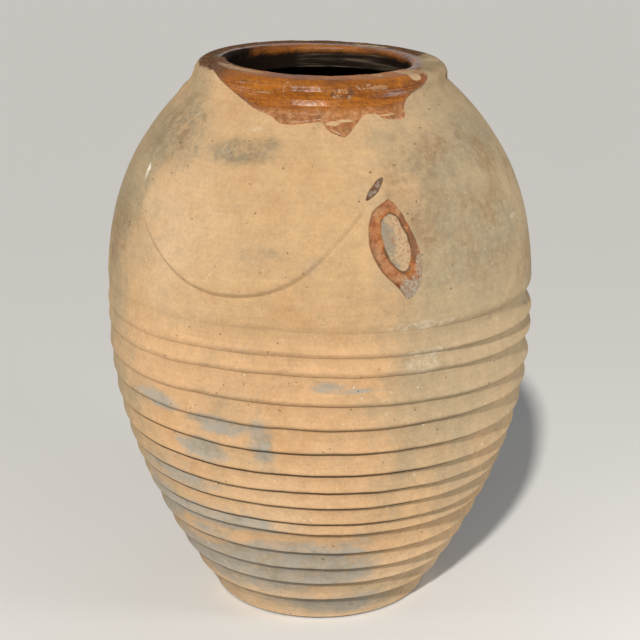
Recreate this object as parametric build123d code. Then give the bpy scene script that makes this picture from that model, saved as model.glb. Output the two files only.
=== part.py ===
"""Large Greek storage jar (pithos), built up as the potter built it.

Half-sections are drawn in the XZ plane and turned about Z. The origin is the
middle of the underside, +Z is up and the front of the jar faces -Y.
"""

import os
from math import cos, hypot, radians, sin

from build123d import *

# Driving sizes, in millimetres
HEIGHT = 798.0
BASE_RADIUS = 160.0
BELLY_RADIUS = 310.5
BELLY_HEIGHT = 412.0
NECK_RADIUS = 181.0
MOUTH_RADIUS = 131.0
WALL = 24.0
FLOOR_THICKNESS = 26.0

# The body curve: how full it is below and above the belly
LOWER_FULLNESS = 1.83
UPPER_FULLNESS = 3.05

# Neck and rim, measured down from the top
NECK_HEIGHT = 42.0
LIP_HEIGHT = 26.0
NECK_FLARE = 12.0
RIM_OUTER_ROUND = 15.0
RIM_INNER_ROUND = 9.0
RIM_DISH = 3.0

# The lapped wall: the banded part's height and each joint's share of it
BANDED_HEIGHT = 498.0
JOINT_SHARES = (0.090, 0.165, 0.229, 0.295, 0.370, 0.410, 0.468, 0.522,
                0.582, 0.651, 0.723, 0.789, 0.871, 0.926, 1.000)
LAP_STEP = 6.0
SOFT_LAP_STEP = 2.5
SOFT_LAPS_FROM = 0.75
LIP_RISE = 5.0
SHOULDER_LIP_RISE = 8.0
JOINT_RISE = 9.0
FLOOR_EDGE_SLOPE = 0.45

# How hollow a course's face is, as a share of its height
BAND_HOLLOW = 0.05

# The smooth shoulder's hidden joints, as shares of its rise
SHOULDER_JOINTS = (0.26, 0.50, 0.70, 0.86)

# Raised cordon: its run across the shoulder as (degrees from the front, share of the shoulder's rise)
CORDON_RUN = ((-67, 0.80), (-59, 0.524), (-46, 0.296), (-33, 0.158), (-20, 0.138), (-7, 0.226),
              (5, 0.444), (19, 0.708), (36, 0.845))
CORDON_RADIUS = 5.5
CORDON_SINK = 1.5
CORDON_CHIPS = {"left": (-61, 0.604), "right": (15.7, 0.654)}
CHIP_RADIUS = 19.0

# Glaze and mortar skins
GLAZE = 2.0
MORTAR = 3.0
MOUTH_GLAZE = 1.5
CHIP_GLAZE = 1.5

# Kiln scar: places round the glaze from its pointed top, and round the fill, as on the cordon
SCAR_OUTLINE = ((19.3, 0.606), (14.2, 0.548), (12.5, 0.420), (14.4, 0.286), (19.2, 0.169),
                (22.4, 0.101), (25.4, 0.165), (26.5, 0.284), (24.6, 0.439), (21.6, 0.556))
FILL_OUTLINE = ((19.6, 0.531), (16.6, 0.505), (16.0, 0.415), (18.0, 0.303), (20.3, 0.256),
                (22.4, 0.268), (23.6, 0.345), (22.3, 0.455))

# Lower edge of the glaze run at the mouth: (share of the neck's radius across, drop below the neck's foot)
GLAZE_RUN = ((-0.93, -48), (-0.81, -36), (-0.62, -10), (-0.35, 6), (-0.02, 12), (0.165, 25),
             (0.31, 8), (0.47, 10), (0.59, 13), (0.63, -4), (0.79, -36), (0.86, -48))

# Heights that follow from the sizes above
NECK_FOOT = HEIGHT - NECK_HEIGHT
LIP_FOOT = HEIGHT - LIP_HEIGHT
SHOULDER_TOP_RADIUS = NECK_RADIUS + NECK_FLARE
FRONT = BELLY_RADIUS + WALL


def body_radius(z):
    """Outer radius of the body, lap lips included, at a height."""
    if z < BELLY_HEIGHT:
        fall = ((BELLY_HEIGHT - z) / BELLY_HEIGHT) ** LOWER_FULLNESS
        return BELLY_RADIUS - (BELLY_RADIUS - BASE_RADIUS) * fall
    fall = ((z - BELLY_HEIGHT) / (NECK_FOOT - BELLY_HEIGHT)) ** UPPER_FULLNESS
    return BELLY_RADIUS - (BELLY_RADIUS - SHOULDER_TOP_RADIUS) * fall


def body_slope(z):
    """How fast the body widens with height."""
    if z < BELLY_HEIGHT:
        share = (BELLY_HEIGHT - z) / BELLY_HEIGHT
        return LOWER_FULLNESS * (BELLY_RADIUS - BASE_RADIUS) / BELLY_HEIGHT * share ** (LOWER_FULLNESS - 1)
    rise = NECK_FOOT - BELLY_HEIGHT
    share = (z - BELLY_HEIGHT) / rise
    return -UPPER_FULLNESS * (BELLY_RADIUS - SHOULDER_TOP_RADIUS) / rise * share ** (UPPER_FULLNESS - 1)


def at(radius, z):
    """A point of a half-section."""
    return Vector(radius, 0, z)


def wall_point(z, outward):
    """A point square off the body curve at a height, outward of it or inside it."""
    slope = body_slope(z)
    length = hypot(slope, 1)
    return at(body_radius(z) + outward / length, z - outward * slope / length)


def joined(lines):
    """One wire from lines, arcs and polylines that meet end to end."""
    return Wire([edge for line in lines for edge in line.edges()])


def ring(lines):
    """Turn a closed half-section about Z."""
    return revolve(Face(joined(lines)), Axis.Z)


def lap_step(z):
    """How far a course stands proud of the one below it; the top laps are smoothed over."""
    softness = max(0.0, (z / BANDED_HEIGHT - SOFT_LAPS_FROM) / (1 - SOFT_LAPS_FROM))
    return LAP_STEP + (SOFT_LAP_STEP - LAP_STEP) * softness


def joint_outside(z):
    return at(body_radius(z) - lap_step(z), z)


def joint_inside(z):
    return wall_point(z + JOINT_RISE, -WALL)


def floor_edge(z):
    """The floor's edge leans outwards, so the floor is held in the foot."""
    return at(BASE_RADIUS - WALL - JOINT_RISE + FLOOR_EDGE_SLOPE * z, z)


def lip_edges(z, seat, rise):
    """Underside and rolled lower lip of a course, from its seat outwards."""
    groove = joint_outside(z)
    front = wall_point(z + rise, 0)
    roll = Spline([groove, front], tangents=[Vector(1, 0, 0), Vector(0, 0, 1)])
    return [roll] if seat == groove else [Line(seat, groove), roll]


def band_face(low, high):
    """The hollow outer face of a course, which flares out towards its lip."""
    middle = (low + high) / 2 - Vector(BAND_HOLLOW * (high - low).length, 0, 0)
    return ThreePointArc(low, middle, high)


def wall_course(low, high):
    """One course: a lip lapped over the course below, and a bevelled joint at each end."""
    seat = joint_outside(low)
    edges = lip_edges(low, seat, LIP_RISE)
    edges.append(band_face(edges[-1] @ 1, joint_outside(high)))
    edges.append(Polyline(joint_outside(high), joint_inside(high), joint_inside(low), seat))
    return ring(edges)


def foot_course(high):
    """The lowest course, which stands on the ground around the floor."""
    seat = floor_edge(0)
    edges = lip_edges(0, seat, LIP_RISE)
    edges.append(band_face(edges[-1] @ 1, joint_outside(high)))
    edges.append(Polyline(joint_outside(high), joint_inside(high), floor_edge(FLOOR_THICKNESS), seat))
    return ring(edges)


def base_floor():
    under, top = at(0, 0), at(0, FLOOR_THICKNESS)
    return ring([Polyline(under, floor_edge(0), floor_edge(FLOOR_THICKNESS), top, close=True)])


def shoulder_height(rise):
    """Height at a share of the way from the last lap to the neck's foot."""
    foot = BANDED_HEIGHT + SHOULDER_LIP_RISE
    return foot + rise * (NECK_FOOT - foot)


def shoulder_curve(outward):
    """The smooth shoulder's curve, from the last lap up to the neck."""
    return Spline([wall_point(shoulder_height(step / 6), outward) for step in range(7)])


def neck_inside():
    return at(NECK_RADIUS - WALL, NECK_FOOT - JOINT_RISE)


def lip_inside():
    return at(MOUTH_RADIUS, LIP_FOOT - JOINT_RISE)


def shoulder():
    seat = joint_outside(BANDED_HEIGHT)
    edges = lip_edges(BANDED_HEIGHT, seat, SHOULDER_LIP_RISE)
    outer = shoulder_curve(0)
    inner_points = [wall_point(shoulder_height(rise), -WALL) for rise in (0.85, 0.6, 0.35)]
    inner = Spline([neck_inside(), *inner_points, joint_inside(BANDED_HEIGHT)])
    edges += [outer, Line(outer @ 1, neck_inside()), inner, Line(inner @ 1, seat)]
    return ring(edges)


def shoulder_courses():
    """The shoulder's courses, which meet on level joints that were smoothed over."""
    courses = []
    rest = shoulder()
    for rise in SHOULDER_JOINTS:
        level = Plane.XY.offset(shoulder_height(rise))
        courses.append(split(rest, level, keep=Keep.BOTTOM))
        rest = split(rest, level, keep=Keep.TOP)
    courses.append(rest)
    return {f"shoulder_course_{number:02d}": course for number, course in enumerate(courses, start=1)}


def neck_outline(outward=0.0):
    """The neck's hollow curve, from the shoulder up to the foot of the lip."""
    below = shoulder_curve(outward)
    top = at(NECK_RADIUS + outward, LIP_FOOT)
    return [Spline([below @ 1, top], tangents=[below % 1, Vector(0, 0, 1)])]


def neck_collar():
    edges = neck_outline()
    edges.append(Polyline(edges[-1] @ 1, lip_inside(), neck_inside(), edges[0] @ 0))
    return ring(edges)


def lip_outline(outward=0.0):
    """Outer edge and top of the lip, from the neck over to the mouth's edge."""
    foot = at(NECK_RADIUS + outward, LIP_FOOT)
    side = at(NECK_RADIUS + outward, HEIGHT - RIM_OUTER_ROUND)
    top = at(NECK_RADIUS - RIM_OUTER_ROUND, HEIGHT + outward)
    inner = at(MOUTH_RADIUS + RIM_INNER_ROUND, HEIGHT - RIM_DISH + outward)
    turn = Spline([side, top], tangents=[side - foot, Vector(-1, 0, 0)])
    return [Line(foot, side), turn, Line(top, inner)]


def rim_lip():
    """The thick lip, turned in over the neck, with a plain round mouth."""
    edges = lip_outline()
    foot, edge = edges[0] @ 0, edges[-1] @ 1
    mouth = at(MOUTH_RADIUS, edge.Z - RIM_INNER_ROUND)
    edges.append(Spline([edge, mouth], tangents=[edges[-1] % 1, Vector(0, 0, -1)]))
    edges.append(Polyline(mouth, lip_inside(), foot))
    return ring(edges)


def skin(inner, outer):
    """A skin between two runs of edges that go the same way."""
    return ring([*inner, Line(inner[-1] @ 1, outer[-1] @ 1), *outer, Line(outer[0] @ 0, inner[0] @ 0)])


def mouth_glaze():
    """Glaze on the neck's inner slope, below the lip."""
    low, high = neck_inside(), lip_inside()
    inner = Line(low - Vector(MOUTH_GLAZE, 0, 0), high - Vector(0, 0, MOUTH_GLAZE))
    return skin([Line(low, high)], [inner])


def front_prism(outline):
    """Everything in front of the axis that lies within an outline drawn in X and Z."""
    return extrude(Face(joined(outline)), amount=FRONT, dir=(0, -1, 0))


def on_shoulder(azimuth, rise, outward=0.0):
    """A point on the shoulder, by its angle from the front and its share of the rise."""
    flat = wall_point(shoulder_height(rise), outward)
    return Vector(flat.X * sin(radians(azimuth)), -flat.X * cos(radians(azimuth)), flat.Z)


def seen_from_front(places):
    """Places on the shoulder as points of an outline drawn in X and Z."""
    points = [on_shoulder(azimuth, rise) for azimuth, rise in places]
    return [at(point.X, point.Z) for point in points]


def shoulder_skin(thickness):
    """A skin all over the shoulder, seated on its outer face."""
    return skin([shoulder_curve(0)], [shoulder_curve(thickness)])


def top_outline(outward):
    """The outside from the last lap up to the mouth's edge."""
    return [shoulder_curve(outward), *neck_outline(outward), *lip_outline(outward)]


def rim_glaze():
    """The glaze that ran out over the front of the rim and down onto the shoulder."""
    run = Spline([at(NECK_RADIUS * across, NECK_FOOT - drop) for across, drop in GLAZE_RUN])
    above = HEIGHT + WALL
    frame = Polyline(run @ 1, at((run @ 1).X, above), at((run @ 0).X, above), run @ 0)
    return skin(top_outline(0), top_outline(GLAZE)) & front_prism([run, frame])


def kiln_scar():
    """The scar where another jar touched in the kiln: an almond of glaze around a mortar fill."""
    almond = Spline(seen_from_front([*SCAR_OUTLINE, SCAR_OUTLINE[0]]))
    fill_prism = front_prism([Spline(seen_from_front(FILL_OUTLINE), periodic=True)])
    glaze = shoulder_skin(GLAZE) & front_prism([almond])
    return {"kiln_scar_glaze": glaze - fill_prism, "kiln_scar_fill": shoulder_skin(MORTAR) & fill_prism}


def chip(side):
    azimuth, rise = CORDON_CHIPS[side]
    return Pos(on_shoulder(azimuth, rise)) * Sphere(CHIP_RADIUS)


def cordon_run(radius, sink):
    """A round cord along the cordon's run; its ends dive into the wall and die out."""
    last = len(CORDON_RUN) - 1
    depth = [radius if step in (0, last) else sink for step in range(last + 1)]
    path = Spline([on_shoulder(*place, -inward) for place, inward in zip(CORDON_RUN, depth)])
    return sweep(Plane(path @ 0, z_dir=path % 0) * Circle(radius), path)


def cordon():
    """The raised cordon in three lengths, broken at two chips that show bare glaze."""
    body = shoulder()
    raised = cordon_run(CORDON_RADIUS, CORDON_SINK) - body
    chips = {side: chip(side) for side in CORDON_CHIPS}
    lengths = raised - chips["left"] - chips["right"]
    ordered = lengths.solids().sort_by(Axis.X)
    scars = {side: shoulder_skin(CHIP_GLAZE) & cordon_run(CORDON_RADIUS, 0) & chips[side] for side in chips}
    pieces = dict(zip(("cordon_left_end", "cordon_swag", "cordon_right_end"), ordered))
    pieces.update({"cordon_chip_" + side: scar for side, scar in scars.items()})
    return pieces


def wall():
    """The foot and every lapped course, from the bottom up."""
    joints = [share * BANDED_HEIGHT for share in JOINT_SHARES]
    pieces = {"foot_course": foot_course(joints[0])}
    for number, (low, high) in enumerate(zip(joints, joints[1:]), start=1):
        pieces[f"wall_course_{number:02d}"] = wall_course(low, high)
    return pieces


def jar():
    pieces = {"base_floor": base_floor(), **wall(), **shoulder_courses()}
    pieces["neck_collar"] = neck_collar()
    pieces["rim_lip"] = rim_lip()
    pieces["mouth_glaze"] = mouth_glaze()
    pieces["rim_glaze"] = rim_glaze()
    pieces.update(kiln_scar())
    pieces.update(cordon())
    return pieces


os.makedirs("parts", exist_ok=True)
for name, piece in jar().items():
    export_step(piece, f"parts/{name}.step")
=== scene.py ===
from bisect import bisect
from math import atan2, cos, degrees, exp, hypot, pi, radians, sin, tau

import bmesh
import bpy
from bpy.props import FloatProperty, FloatVectorProperty, IntProperty, PointerProperty
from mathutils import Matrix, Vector, noise


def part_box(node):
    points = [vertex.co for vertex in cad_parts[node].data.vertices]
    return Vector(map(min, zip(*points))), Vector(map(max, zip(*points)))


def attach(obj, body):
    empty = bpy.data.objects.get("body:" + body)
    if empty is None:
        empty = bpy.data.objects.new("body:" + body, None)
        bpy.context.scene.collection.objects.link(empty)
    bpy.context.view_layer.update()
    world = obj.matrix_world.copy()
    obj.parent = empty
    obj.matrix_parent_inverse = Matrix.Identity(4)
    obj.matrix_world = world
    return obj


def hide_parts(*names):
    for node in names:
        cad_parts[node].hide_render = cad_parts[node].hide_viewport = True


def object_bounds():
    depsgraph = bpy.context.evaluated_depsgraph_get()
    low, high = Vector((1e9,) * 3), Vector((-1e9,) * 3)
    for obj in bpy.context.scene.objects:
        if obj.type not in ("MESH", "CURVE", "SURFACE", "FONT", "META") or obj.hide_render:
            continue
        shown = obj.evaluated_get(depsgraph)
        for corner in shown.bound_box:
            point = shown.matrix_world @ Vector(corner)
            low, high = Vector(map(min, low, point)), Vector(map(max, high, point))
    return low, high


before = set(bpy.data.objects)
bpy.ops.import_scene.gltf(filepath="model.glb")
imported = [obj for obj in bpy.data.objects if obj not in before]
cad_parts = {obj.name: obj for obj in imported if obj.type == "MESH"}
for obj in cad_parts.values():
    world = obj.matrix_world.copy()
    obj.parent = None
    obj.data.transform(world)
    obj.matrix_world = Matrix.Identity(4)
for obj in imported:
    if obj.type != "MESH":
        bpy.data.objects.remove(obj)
CAD_BOX = [list(corner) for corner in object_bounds()]

bl_info = {
    "name": "Weathered storage jar",
    "version": (1, 0, 0),
    "blender": (4, 5, 0),
    "location": "3D View > Sidebar > Jar",
    "description": "Dresses a hand-built earthenware storage jar on its solid model",
    "category": "Object",
}

WALL_COURSES = sorted(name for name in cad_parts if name.startswith("wall_course"))
SHOULDER_COURSES = sorted(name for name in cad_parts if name.startswith("shoulder_course"))
RIM_BOX, FLOOR_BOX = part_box("rim_lip"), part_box("base_floor")
BANDED_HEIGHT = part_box(SHOULDER_COURSES[0])[0][2]
NECK_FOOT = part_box(SHOULDER_COURSES[-1])[1][2]

# Places on the shoulder: degrees from the front, and the share of the shoulder's rise
CORDON_RUN = ((-67, 0.80), (-59, 0.524), (-46, 0.296), (-33, 0.158), (-20, 0.138), (-7, 0.226),
              (5, 0.444), (19, 0.708), (36, 0.845))
CORDON_CHIPS = {"left": (-61, 0.604), "right": (15.7, 0.654)}
SCAR_OUTLINE = ((19.3, 0.606), (14.2, 0.548), (12.5, 0.420), (14.4, 0.286), (19.2, 0.169),
                (22.4, 0.101), (25.4, 0.165), (26.5, 0.284), (24.6, 0.439), (21.6, 0.556))
FILL_OUTLINE = ((19.6, 0.531), (16.6, 0.505), (16.0, 0.415), (18.0, 0.303), (20.3, 0.256),
                (22.4, 0.268), (23.6, 0.345), (22.3, 0.455))

# Lower edge of the glaze run: degrees from the front, and metres below the top of the rim
GLAZE_EDGE = ((-90, -0.002), (-72, -0.001), (-57, 0.004), (-46, 0.015), (-34, 0.032), (-25, 0.042),
              (-19, 0.047), (-15, 0.054), (-9.5, 0.055), (-4, 0.053), (0.5, 0.052), (3, 0.061), (7, 0.068),
              (9, 0.068), (11.5, 0.061), (16.5, 0.047), (22, 0.045), (25, 0.051), (33, 0.053), (36, 0.040),
              (44, 0.025), (53, 0.010), (60, -0.002))
GLAZE_RIDGES = (0.784, 0.7665, 0.7575)

# Ovals on the surface: degrees from the front, height, half widths in degrees and metres, strength
GREY_STAINS = ((-46.5, 0.366, 10, 0.022, 0.8), (-27.5, 0.351, 11, 0.019, 0.9), (-33, 0.310, 11, 0.026, 0.9),
               (-15, 0.332, 5, 0.052, 0.8), (1.5, 0.416, 5, 0.011, 0.7), (8, 0.411, 10, 0.005, 0.6),
               (-46, 0.255, 22, 0.040, 0.7), (-34, 0.190, 36, 0.030, 0.9), (-60, 0.190, 18, 0.070, 0.7),
               (-12, 0.110, 34, 0.066, 1.1), (-44, 0.090, 36, 0.060, 0.9), (4, 0.030, 44, 0.026, 1.0),
               (-30, 0.100, 50, 0.130, 0.5), (140, 0.260, 22, 0.070, 0.8), (-150, 0.400, 18, 0.040, 0.8),
               (176, 0.120, 34, 0.080, 0.8))
GREY_BLOOM = ((-60, 0.715, 22, 0.050, 1.0), (-27, 0.708, 16, 0.016, 0.9), (-18, 0.720, 7, 0.012, 0.8),
              (-72, 0.590, 16, 0.110, 0.8), (38, 0.690, 17, 0.034, 1.0), (62, 0.700, 18, 0.050, 1.0),
              (48, 0.600, 24, 0.085, 1.0), (34, 0.630, 14, 0.060, 0.9), (36, 0.560, 12, 0.035, 0.8),
              (-12, 0.590, 10, 0.020, 0.4), (74, 0.520, 16, 0.090, 0.6), (72, 0.770, 34, 0.050, 0.35),
              (120, 0.640, 40, 0.080, 0.8), (-140, 0.620, 40, 0.080, 0.8))
PALE_WEAR = ((25, 0.494, 10, 0.008, 0.6), (28, 0.455, 8, 0.007, 0.7), (26, 0.440, 6, 0.016, 0.5),
             (-24, 0.736, 4, 0.004, 0.5), (66, 0.600, 3, 0.004, 0.6))
CRACKED = ((-6, 0.375, 16, 0.075, 0.10), (-14, 0.275, 6, 0.030, 0.12))
# Painted shade of a small notch in the rim's side
RIM_NOTCH_SHADE = ((79, 0.777, 5, 0.006, 0.5),)
WORN_SIDE = ((26, 0.784, 5, 0.004, 0.4), (-52, 0.786, 3, 0.003, 0.8), (-24, 0.779, 5, 0.002, 0.6))
WORN_SPOTS = ((47.5, 0.7915, 4.0, 0.0065, 1.0), (-60, 0.7870, 2.5, 0.0030, 0.8))
SCAR_SHADE = ((24.3, 0.602, 1.6, 0.032, 0.8), (22.3, 0.632, 1.5, 0.012, 0.7))
SCAR_CRUST = ((23.5, 0.543, 4.6, 0.026, 1.0), (25.8, 0.570, 1.6, 0.024, 0.9))
GLAZE_CRUST = ((9, 0.778, 7, 0.0085, 1.0), (-30, 0.789, 10, 0.0040, 0.7), (18, 0.786, 8, 0.0040, 0.7))
GLAZE_GAPS = ((4.5, 0.7450, 3.2, 0.0034, 1.0), (9.0, 0.7475, 3.6, 0.0020, 1.0),
              (25.5, 0.7512, 4.5, 0.0012, 1.0))

# Ovals on the rim's top: the same, with the radius in place of the height
WORN_TOP = ((-49, 0.1480, 24, 0.0110, 1.0), (31, 0.1480, 6, 0.0120, 1.0), (56, 0.1560, 7, 0.0200, 1.0),
            (94, 0.1590, 9, 0.0140, 0.9), (150, 0.1480, 14, 0.0060, 0.7))
SHADED_EDGE = ((-95, 0.1325, 58, 0.0085, 1.0),)
BARE_TOP = ((86, 0.165, 36, 0.030, 1.0),)

# How stained each course of the wall is, from the lowest up
COURSE_STAINS = (0.35, 0.9, 0.95, 0.9, 0.6, 0.35, 0.75, 0.25, 0.65, 0.7, 0.6, 0.5, 0.4, 0.4)


# Properties

def number_property(name, description, default):
    return FloatProperty(name=name, description=description, default=default)


def length_property(name, description, default):
    return FloatProperty(name=name, description=description, default=default, unit="LENGTH", precision=4)


def angle_property(name, description, default):
    return FloatProperty(name=name, description=description, default=radians(default), subtype="ANGLE")


def colour_property(name, description, default):
    return FloatVectorProperty(name=name, description=description, default=default, subtype="COLOR",
                               size=3, min=0, max=1)


class JarSizes(bpy.types.PropertyGroup):
    """Sizes of the jar, in metres, as its solids have them."""

    belly_radius: length_property("Belly radius", "Widest radius of the body", CAD_BOX[1][0])
    belly_height: length_property("Belly height", "Height of the widest place", 0.412)
    base_radius: length_property("Base radius", "Radius at the ground", 0.160)
    neck_radius: length_property("Neck radius", "Outer radius of the lip", RIM_BOX[1][0])
    neck_foot: length_property("Neck foot", "Height where the shoulder meets the neck", NECK_FOOT)
    neck_flare: length_property("Neck flare", "How far the neck's foot spreads", 0.012)
    mouth_radius: length_property("Mouth radius", "Radius of the open mouth", 0.131)
    height: length_property("Height", "Top of the rim", RIM_BOX[1][2])
    lip_height: length_property("Lip height", "Height of the thick lip", 0.026)
    lower_fullness: number_property("Lower fullness", "Power of the curve below the belly", 1.83)
    upper_fullness: number_property("Upper fullness", "Power of the curve above the belly", 3.05)
    wall: length_property("Wall", "Thickness of the wall", 0.024)
    floor_radius: length_property("Floor radius", "Radius of the floor's upper side", FLOOR_BOX[1][0])
    floor_thickness: length_property("Floor", "Thickness of the floor", FLOOR_BOX[1][2])
    lap_step: length_property("Lap", "How far a course stands proud of the one below", 0.006)
    soft_lap_step: length_property("Soft lap", "The same at the laps near the shoulder", 0.0025)
    lip_rise: length_property("Lip roll", "Height of the rolled lower edge of a course", 0.005)
    soft_lip_rise: length_property("Soft lip roll", "The same where the laps are smoothed over", 0.009)
    shoulder_foot: length_property("Shoulder foot", "Height where the smooth shoulder begins",
                                   BANDED_HEIGHT + 0.008)
    band_hollow: number_property("Band hollow", "How hollow a course's face is, by its height", 0.055)
    joint_rise: length_property("Joint rise", "How far a joint climbs from outside to inside", 0.009)
    wobble: length_property("Wobble", "How far the hand-built wall strays from round", 0.0036)
    wave: length_property("Wave", "How far the lap lines wander up and down", 0.006)
    segments: IntProperty(name="Segments", description="Steps round the jar", default=540, min=48)
    seed: number_property("Seed", "Picks another jar of the same kind", 4.0)


class JarColours(bpy.types.PropertyGroup):
    """Colours of the clay, glaze and mortar."""

    clay_tan: colour_property("Tan clay", "Clay of the shoulder", (0.622, 0.405, 0.212))
    clay_peach: colour_property("Peach clay", "Clay of the lapped wall", (0.690, 0.432, 0.228))
    # Also laid over the foot as painted light.
    clay_pale: colour_property("Pale clay", "Bleached clay", (0.700, 0.520, 0.330))
    clay_blush: colour_property("Blush", "Redder patches", (0.590, 0.310, 0.135))
    # Also painted side shade, laid stronger towards both sides of the jar.
    olive: colour_property("Olive", "Pale grey-green of the weathered sides", (0.435, 0.335, 0.205))
    bloom: colour_property("Bloom", "Grey-green bloom", (0.330, 0.270, 0.175))
    umber: colour_property("Umber", "Brown weathering", (0.300, 0.205, 0.115))
    stain: colour_property("Stain", "Grey mineral stain", (0.440, 0.395, 0.325))
    # Dirt, and also painted shade: laid in the lap grooves, under the cordon, in the scar's crevice and
    # opened joints, and on a notch in the rim.
    dirt_and_shade: colour_property("Dirt", "Dirt in laps and pits", (0.070, 0.045, 0.024))
    # Also the painted highlight on the left chip's edge.
    grit: colour_property("Grit", "Pale grit", (0.800, 0.720, 0.580))
    glaze_amber: colour_property("Amber glaze", "Thin glaze", (0.450, 0.145, 0.010))
    glaze_brown: colour_property("Brown glaze", "Thick glaze", (0.130, 0.036, 0.006))
    glaze_russet: colour_property("Russet glaze", "Dry edge of the glaze", (0.410, 0.140, 0.048))
    rim_dull: colour_property("Dull rim", "Worn glaze on top of the rim", (0.170, 0.078, 0.040))
    mortar_grey: colour_property("Grey mortar", "Mortar", (0.360, 0.295, 0.215))
    mortar_cream: colour_property("Cream mortar", "Worn mortar", (0.570, 0.390, 0.230))
    # Dark inside of the jar, and painted shadow: it covers the left of the inside and the mouth's left edge.
    inside_dark_and_shadow: colour_property("Inside", "Dark inside of the jar", (0.016, 0.010, 0.007))
    dust: colour_property("Dust", "Dust on the turning lines inside", (0.170, 0.130, 0.090))


class JarStage(bpy.types.PropertyGroup):
    """Camera, lamps and floor."""

    camera_distance: length_property("Camera distance", "In front of the jar's axis", 2.2855)
    camera_height: length_property("Camera height", "Above the floor", 1.1806)
    camera_pitch: angle_property("Camera pitch", "Angle below level", 18.68)
    camera_lens: number_property("Lens", "Focal length on a 36 mm frame", 91.8)
    key_strength: number_property("Key lamp", "Strength of the sun-like lamp", 2.8)
    key_azimuth: angle_property("Key side", "Lamp's angle from the front", -10.5)
    key_height: angle_property("Key height", "Lamp's angle above level", 39.3)
    key_softness: angle_property("Key softness", "Width of the lamp as seen from the jar", 3)
    key_colour: colour_property("Key colour", "Warm white", (1.0, 0.96, 0.90))
    right_power: number_property("Right lamp", "Power of the soft lamp on the right", 6.8)
    left_power: number_property("Left lamp", "Power of the soft lamp on the left", 4.8)
    sky_strength: number_property("Sky", "Soft light from all round", 0.13)
    sky_colour: colour_property("Sky colour", "Cool white", (0.93, 0.96, 1.0))
    backdrop: number_property("Backdrop", "Brightness of the far background", 0.8)
    floor_colour: colour_property("Floor", "Pale floor", (0.80, 0.79, 0.77))
    floor_bounce: colour_property("Bounce", "Floor as it lights the jar", (0.40, 0.39, 0.37))


# Body shape

def body_radius(sizes, z):
    """Outer radius of the body at a height, lap lips included."""
    if z < sizes.belly_height:
        fall = ((sizes.belly_height - z) / sizes.belly_height) ** sizes.lower_fullness
        return sizes.belly_radius - (sizes.belly_radius - sizes.base_radius) * fall
    top_radius = sizes.neck_radius + sizes.neck_flare
    fall = ((z - sizes.belly_height) / (sizes.neck_foot - sizes.belly_height)) ** sizes.upper_fullness
    return sizes.belly_radius - (sizes.belly_radius - top_radius) * fall


def wall_point(sizes, z, outward):
    """A point square off the body curve at a height, as (radius, height)."""
    near = 0.0005
    slope = (body_radius(sizes, z + near) - body_radius(sizes, z - near)) / (2 * near)
    length = hypot(slope, 1)
    return body_radius(sizes, z) + outward / length, z - outward * slope / length


def softness(z):
    """How far the lap at a height is smoothed over: not at all low down, fully at the shoulder."""
    first_soft = 0.62
    return max(0.0, min(1.0, (z / BANDED_HEIGHT - first_soft) / (1 - first_soft)))


def lap_step(sizes, z):
    return sizes.lap_step + (sizes.soft_lap_step - sizes.lap_step) * softness(z)


def lip_rise(sizes, z):
    return sizes.lip_rise + (sizes.soft_lip_rise - sizes.lip_rise) * softness(z)


def groove_point(sizes, z):
    return body_radius(sizes, z) - lap_step(sizes, z), z


def lap_depth(sizes, radius, z):
    """How far a point near the outside lies in from the body curve, because of the laps."""
    none_from = 0.8 * sizes.wall
    if z > BANDED_HEIGHT + sizes.soft_lip_rise:
        return 0.0
    depth = body_radius(sizes, z) - radius
    return max(0.0, min(depth, none_from - depth))


def joint_inside(sizes, z):
    return wall_point(sizes, z + sizes.joint_rise, -sizes.wall)


def shoulder_height(sizes, rise):
    return sizes.shoulder_foot + rise * (sizes.neck_foot - sizes.shoulder_foot)


def lip_foot(sizes):
    return sizes.height - sizes.lip_height


def neck_inside(sizes):
    return sizes.neck_radius - sizes.wall, sizes.neck_foot - sizes.joint_rise


def lip_inside(sizes):
    return sizes.mouth_radius, lip_foot(sizes) - sizes.joint_rise


# Half-sections: runs of (radius, height) points, with how deep in a groove and how far inside they are

GROOVE_REACH = 0.0035
SOFT_GROOVE_REACH = 0.005


def straight(start, end, steps):
    """Points from start up to, but not including, end."""
    return [tuple(a + (b - a) * step / steps for a, b in zip(start, end)) for step in range(steps)]


def arc(centre, reach, start, end, steps):
    """Points on part of a circle, not including the last."""
    turns = [start + (end - start) * step / steps for step in range(steps)]
    return [(centre[0] + reach * cos(turn), centre[1] + reach * sin(turn)) for turn in turns]


class Section:
    """A closed half-section with three numbers at each point: groove, inside and tint."""

    def __init__(self, tint=0.5):
        self.points, self.groove, self.inside = [], [], []
        self.tint = tint

    def run(self, points, inside=0.0):
        for point in points:
            self.points.append(point)
            self.groove.append(0.0)
            self.inside.append(inside)

    def shade_grooves(self, heights, reach):
        """Marks what is close to each groove's height, less where the lap is smoothed over."""
        fade = 0.75
        for index, (_, z) in enumerate(self.points):
            depths = [(1 - fade * softness(height)) * (1 - abs(z - height) / reach) for height in heights]
            self.groove[index] = max(0.0, *depths)


def lip_roll(sizes, z, steps=10):
    """The lower edge of a course, from its groove to its face: rolled, or a soft swell."""
    groove = groove_point(sizes, z)
    front = wall_point(sizes, z + lip_rise(sizes, z), 0)
    soft = softness(z)
    points = []
    for step in range(steps):
        share = step / steps
        rolled = (1 - (1 - share) ** 2) ** 0.5
        eased = 1 - (1 - share) ** 2
        out = rolled + (eased - rolled) * soft
        points.append((groove[0] + (front[0] - groove[0]) * out, groove[1] + (front[1] - groove[1]) * share))
    return points


def band_face(sizes, low, high, spacing=0.002):
    """The hollow face of a course, which flares out towards its lip."""
    start = wall_point(sizes, low + lip_rise(sizes, low), 0)
    end = groove_point(sizes, high)
    length = hypot(end[0] - start[0], end[1] - start[1])
    steps = max(4, round(length / spacing))
    points = []
    for step, (radius, z) in enumerate(straight(start, end, steps)):
        share = step / steps
        points.append((radius - sizes.band_hollow * length * 4 * share * (1 - share), z))
    return points


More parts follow.
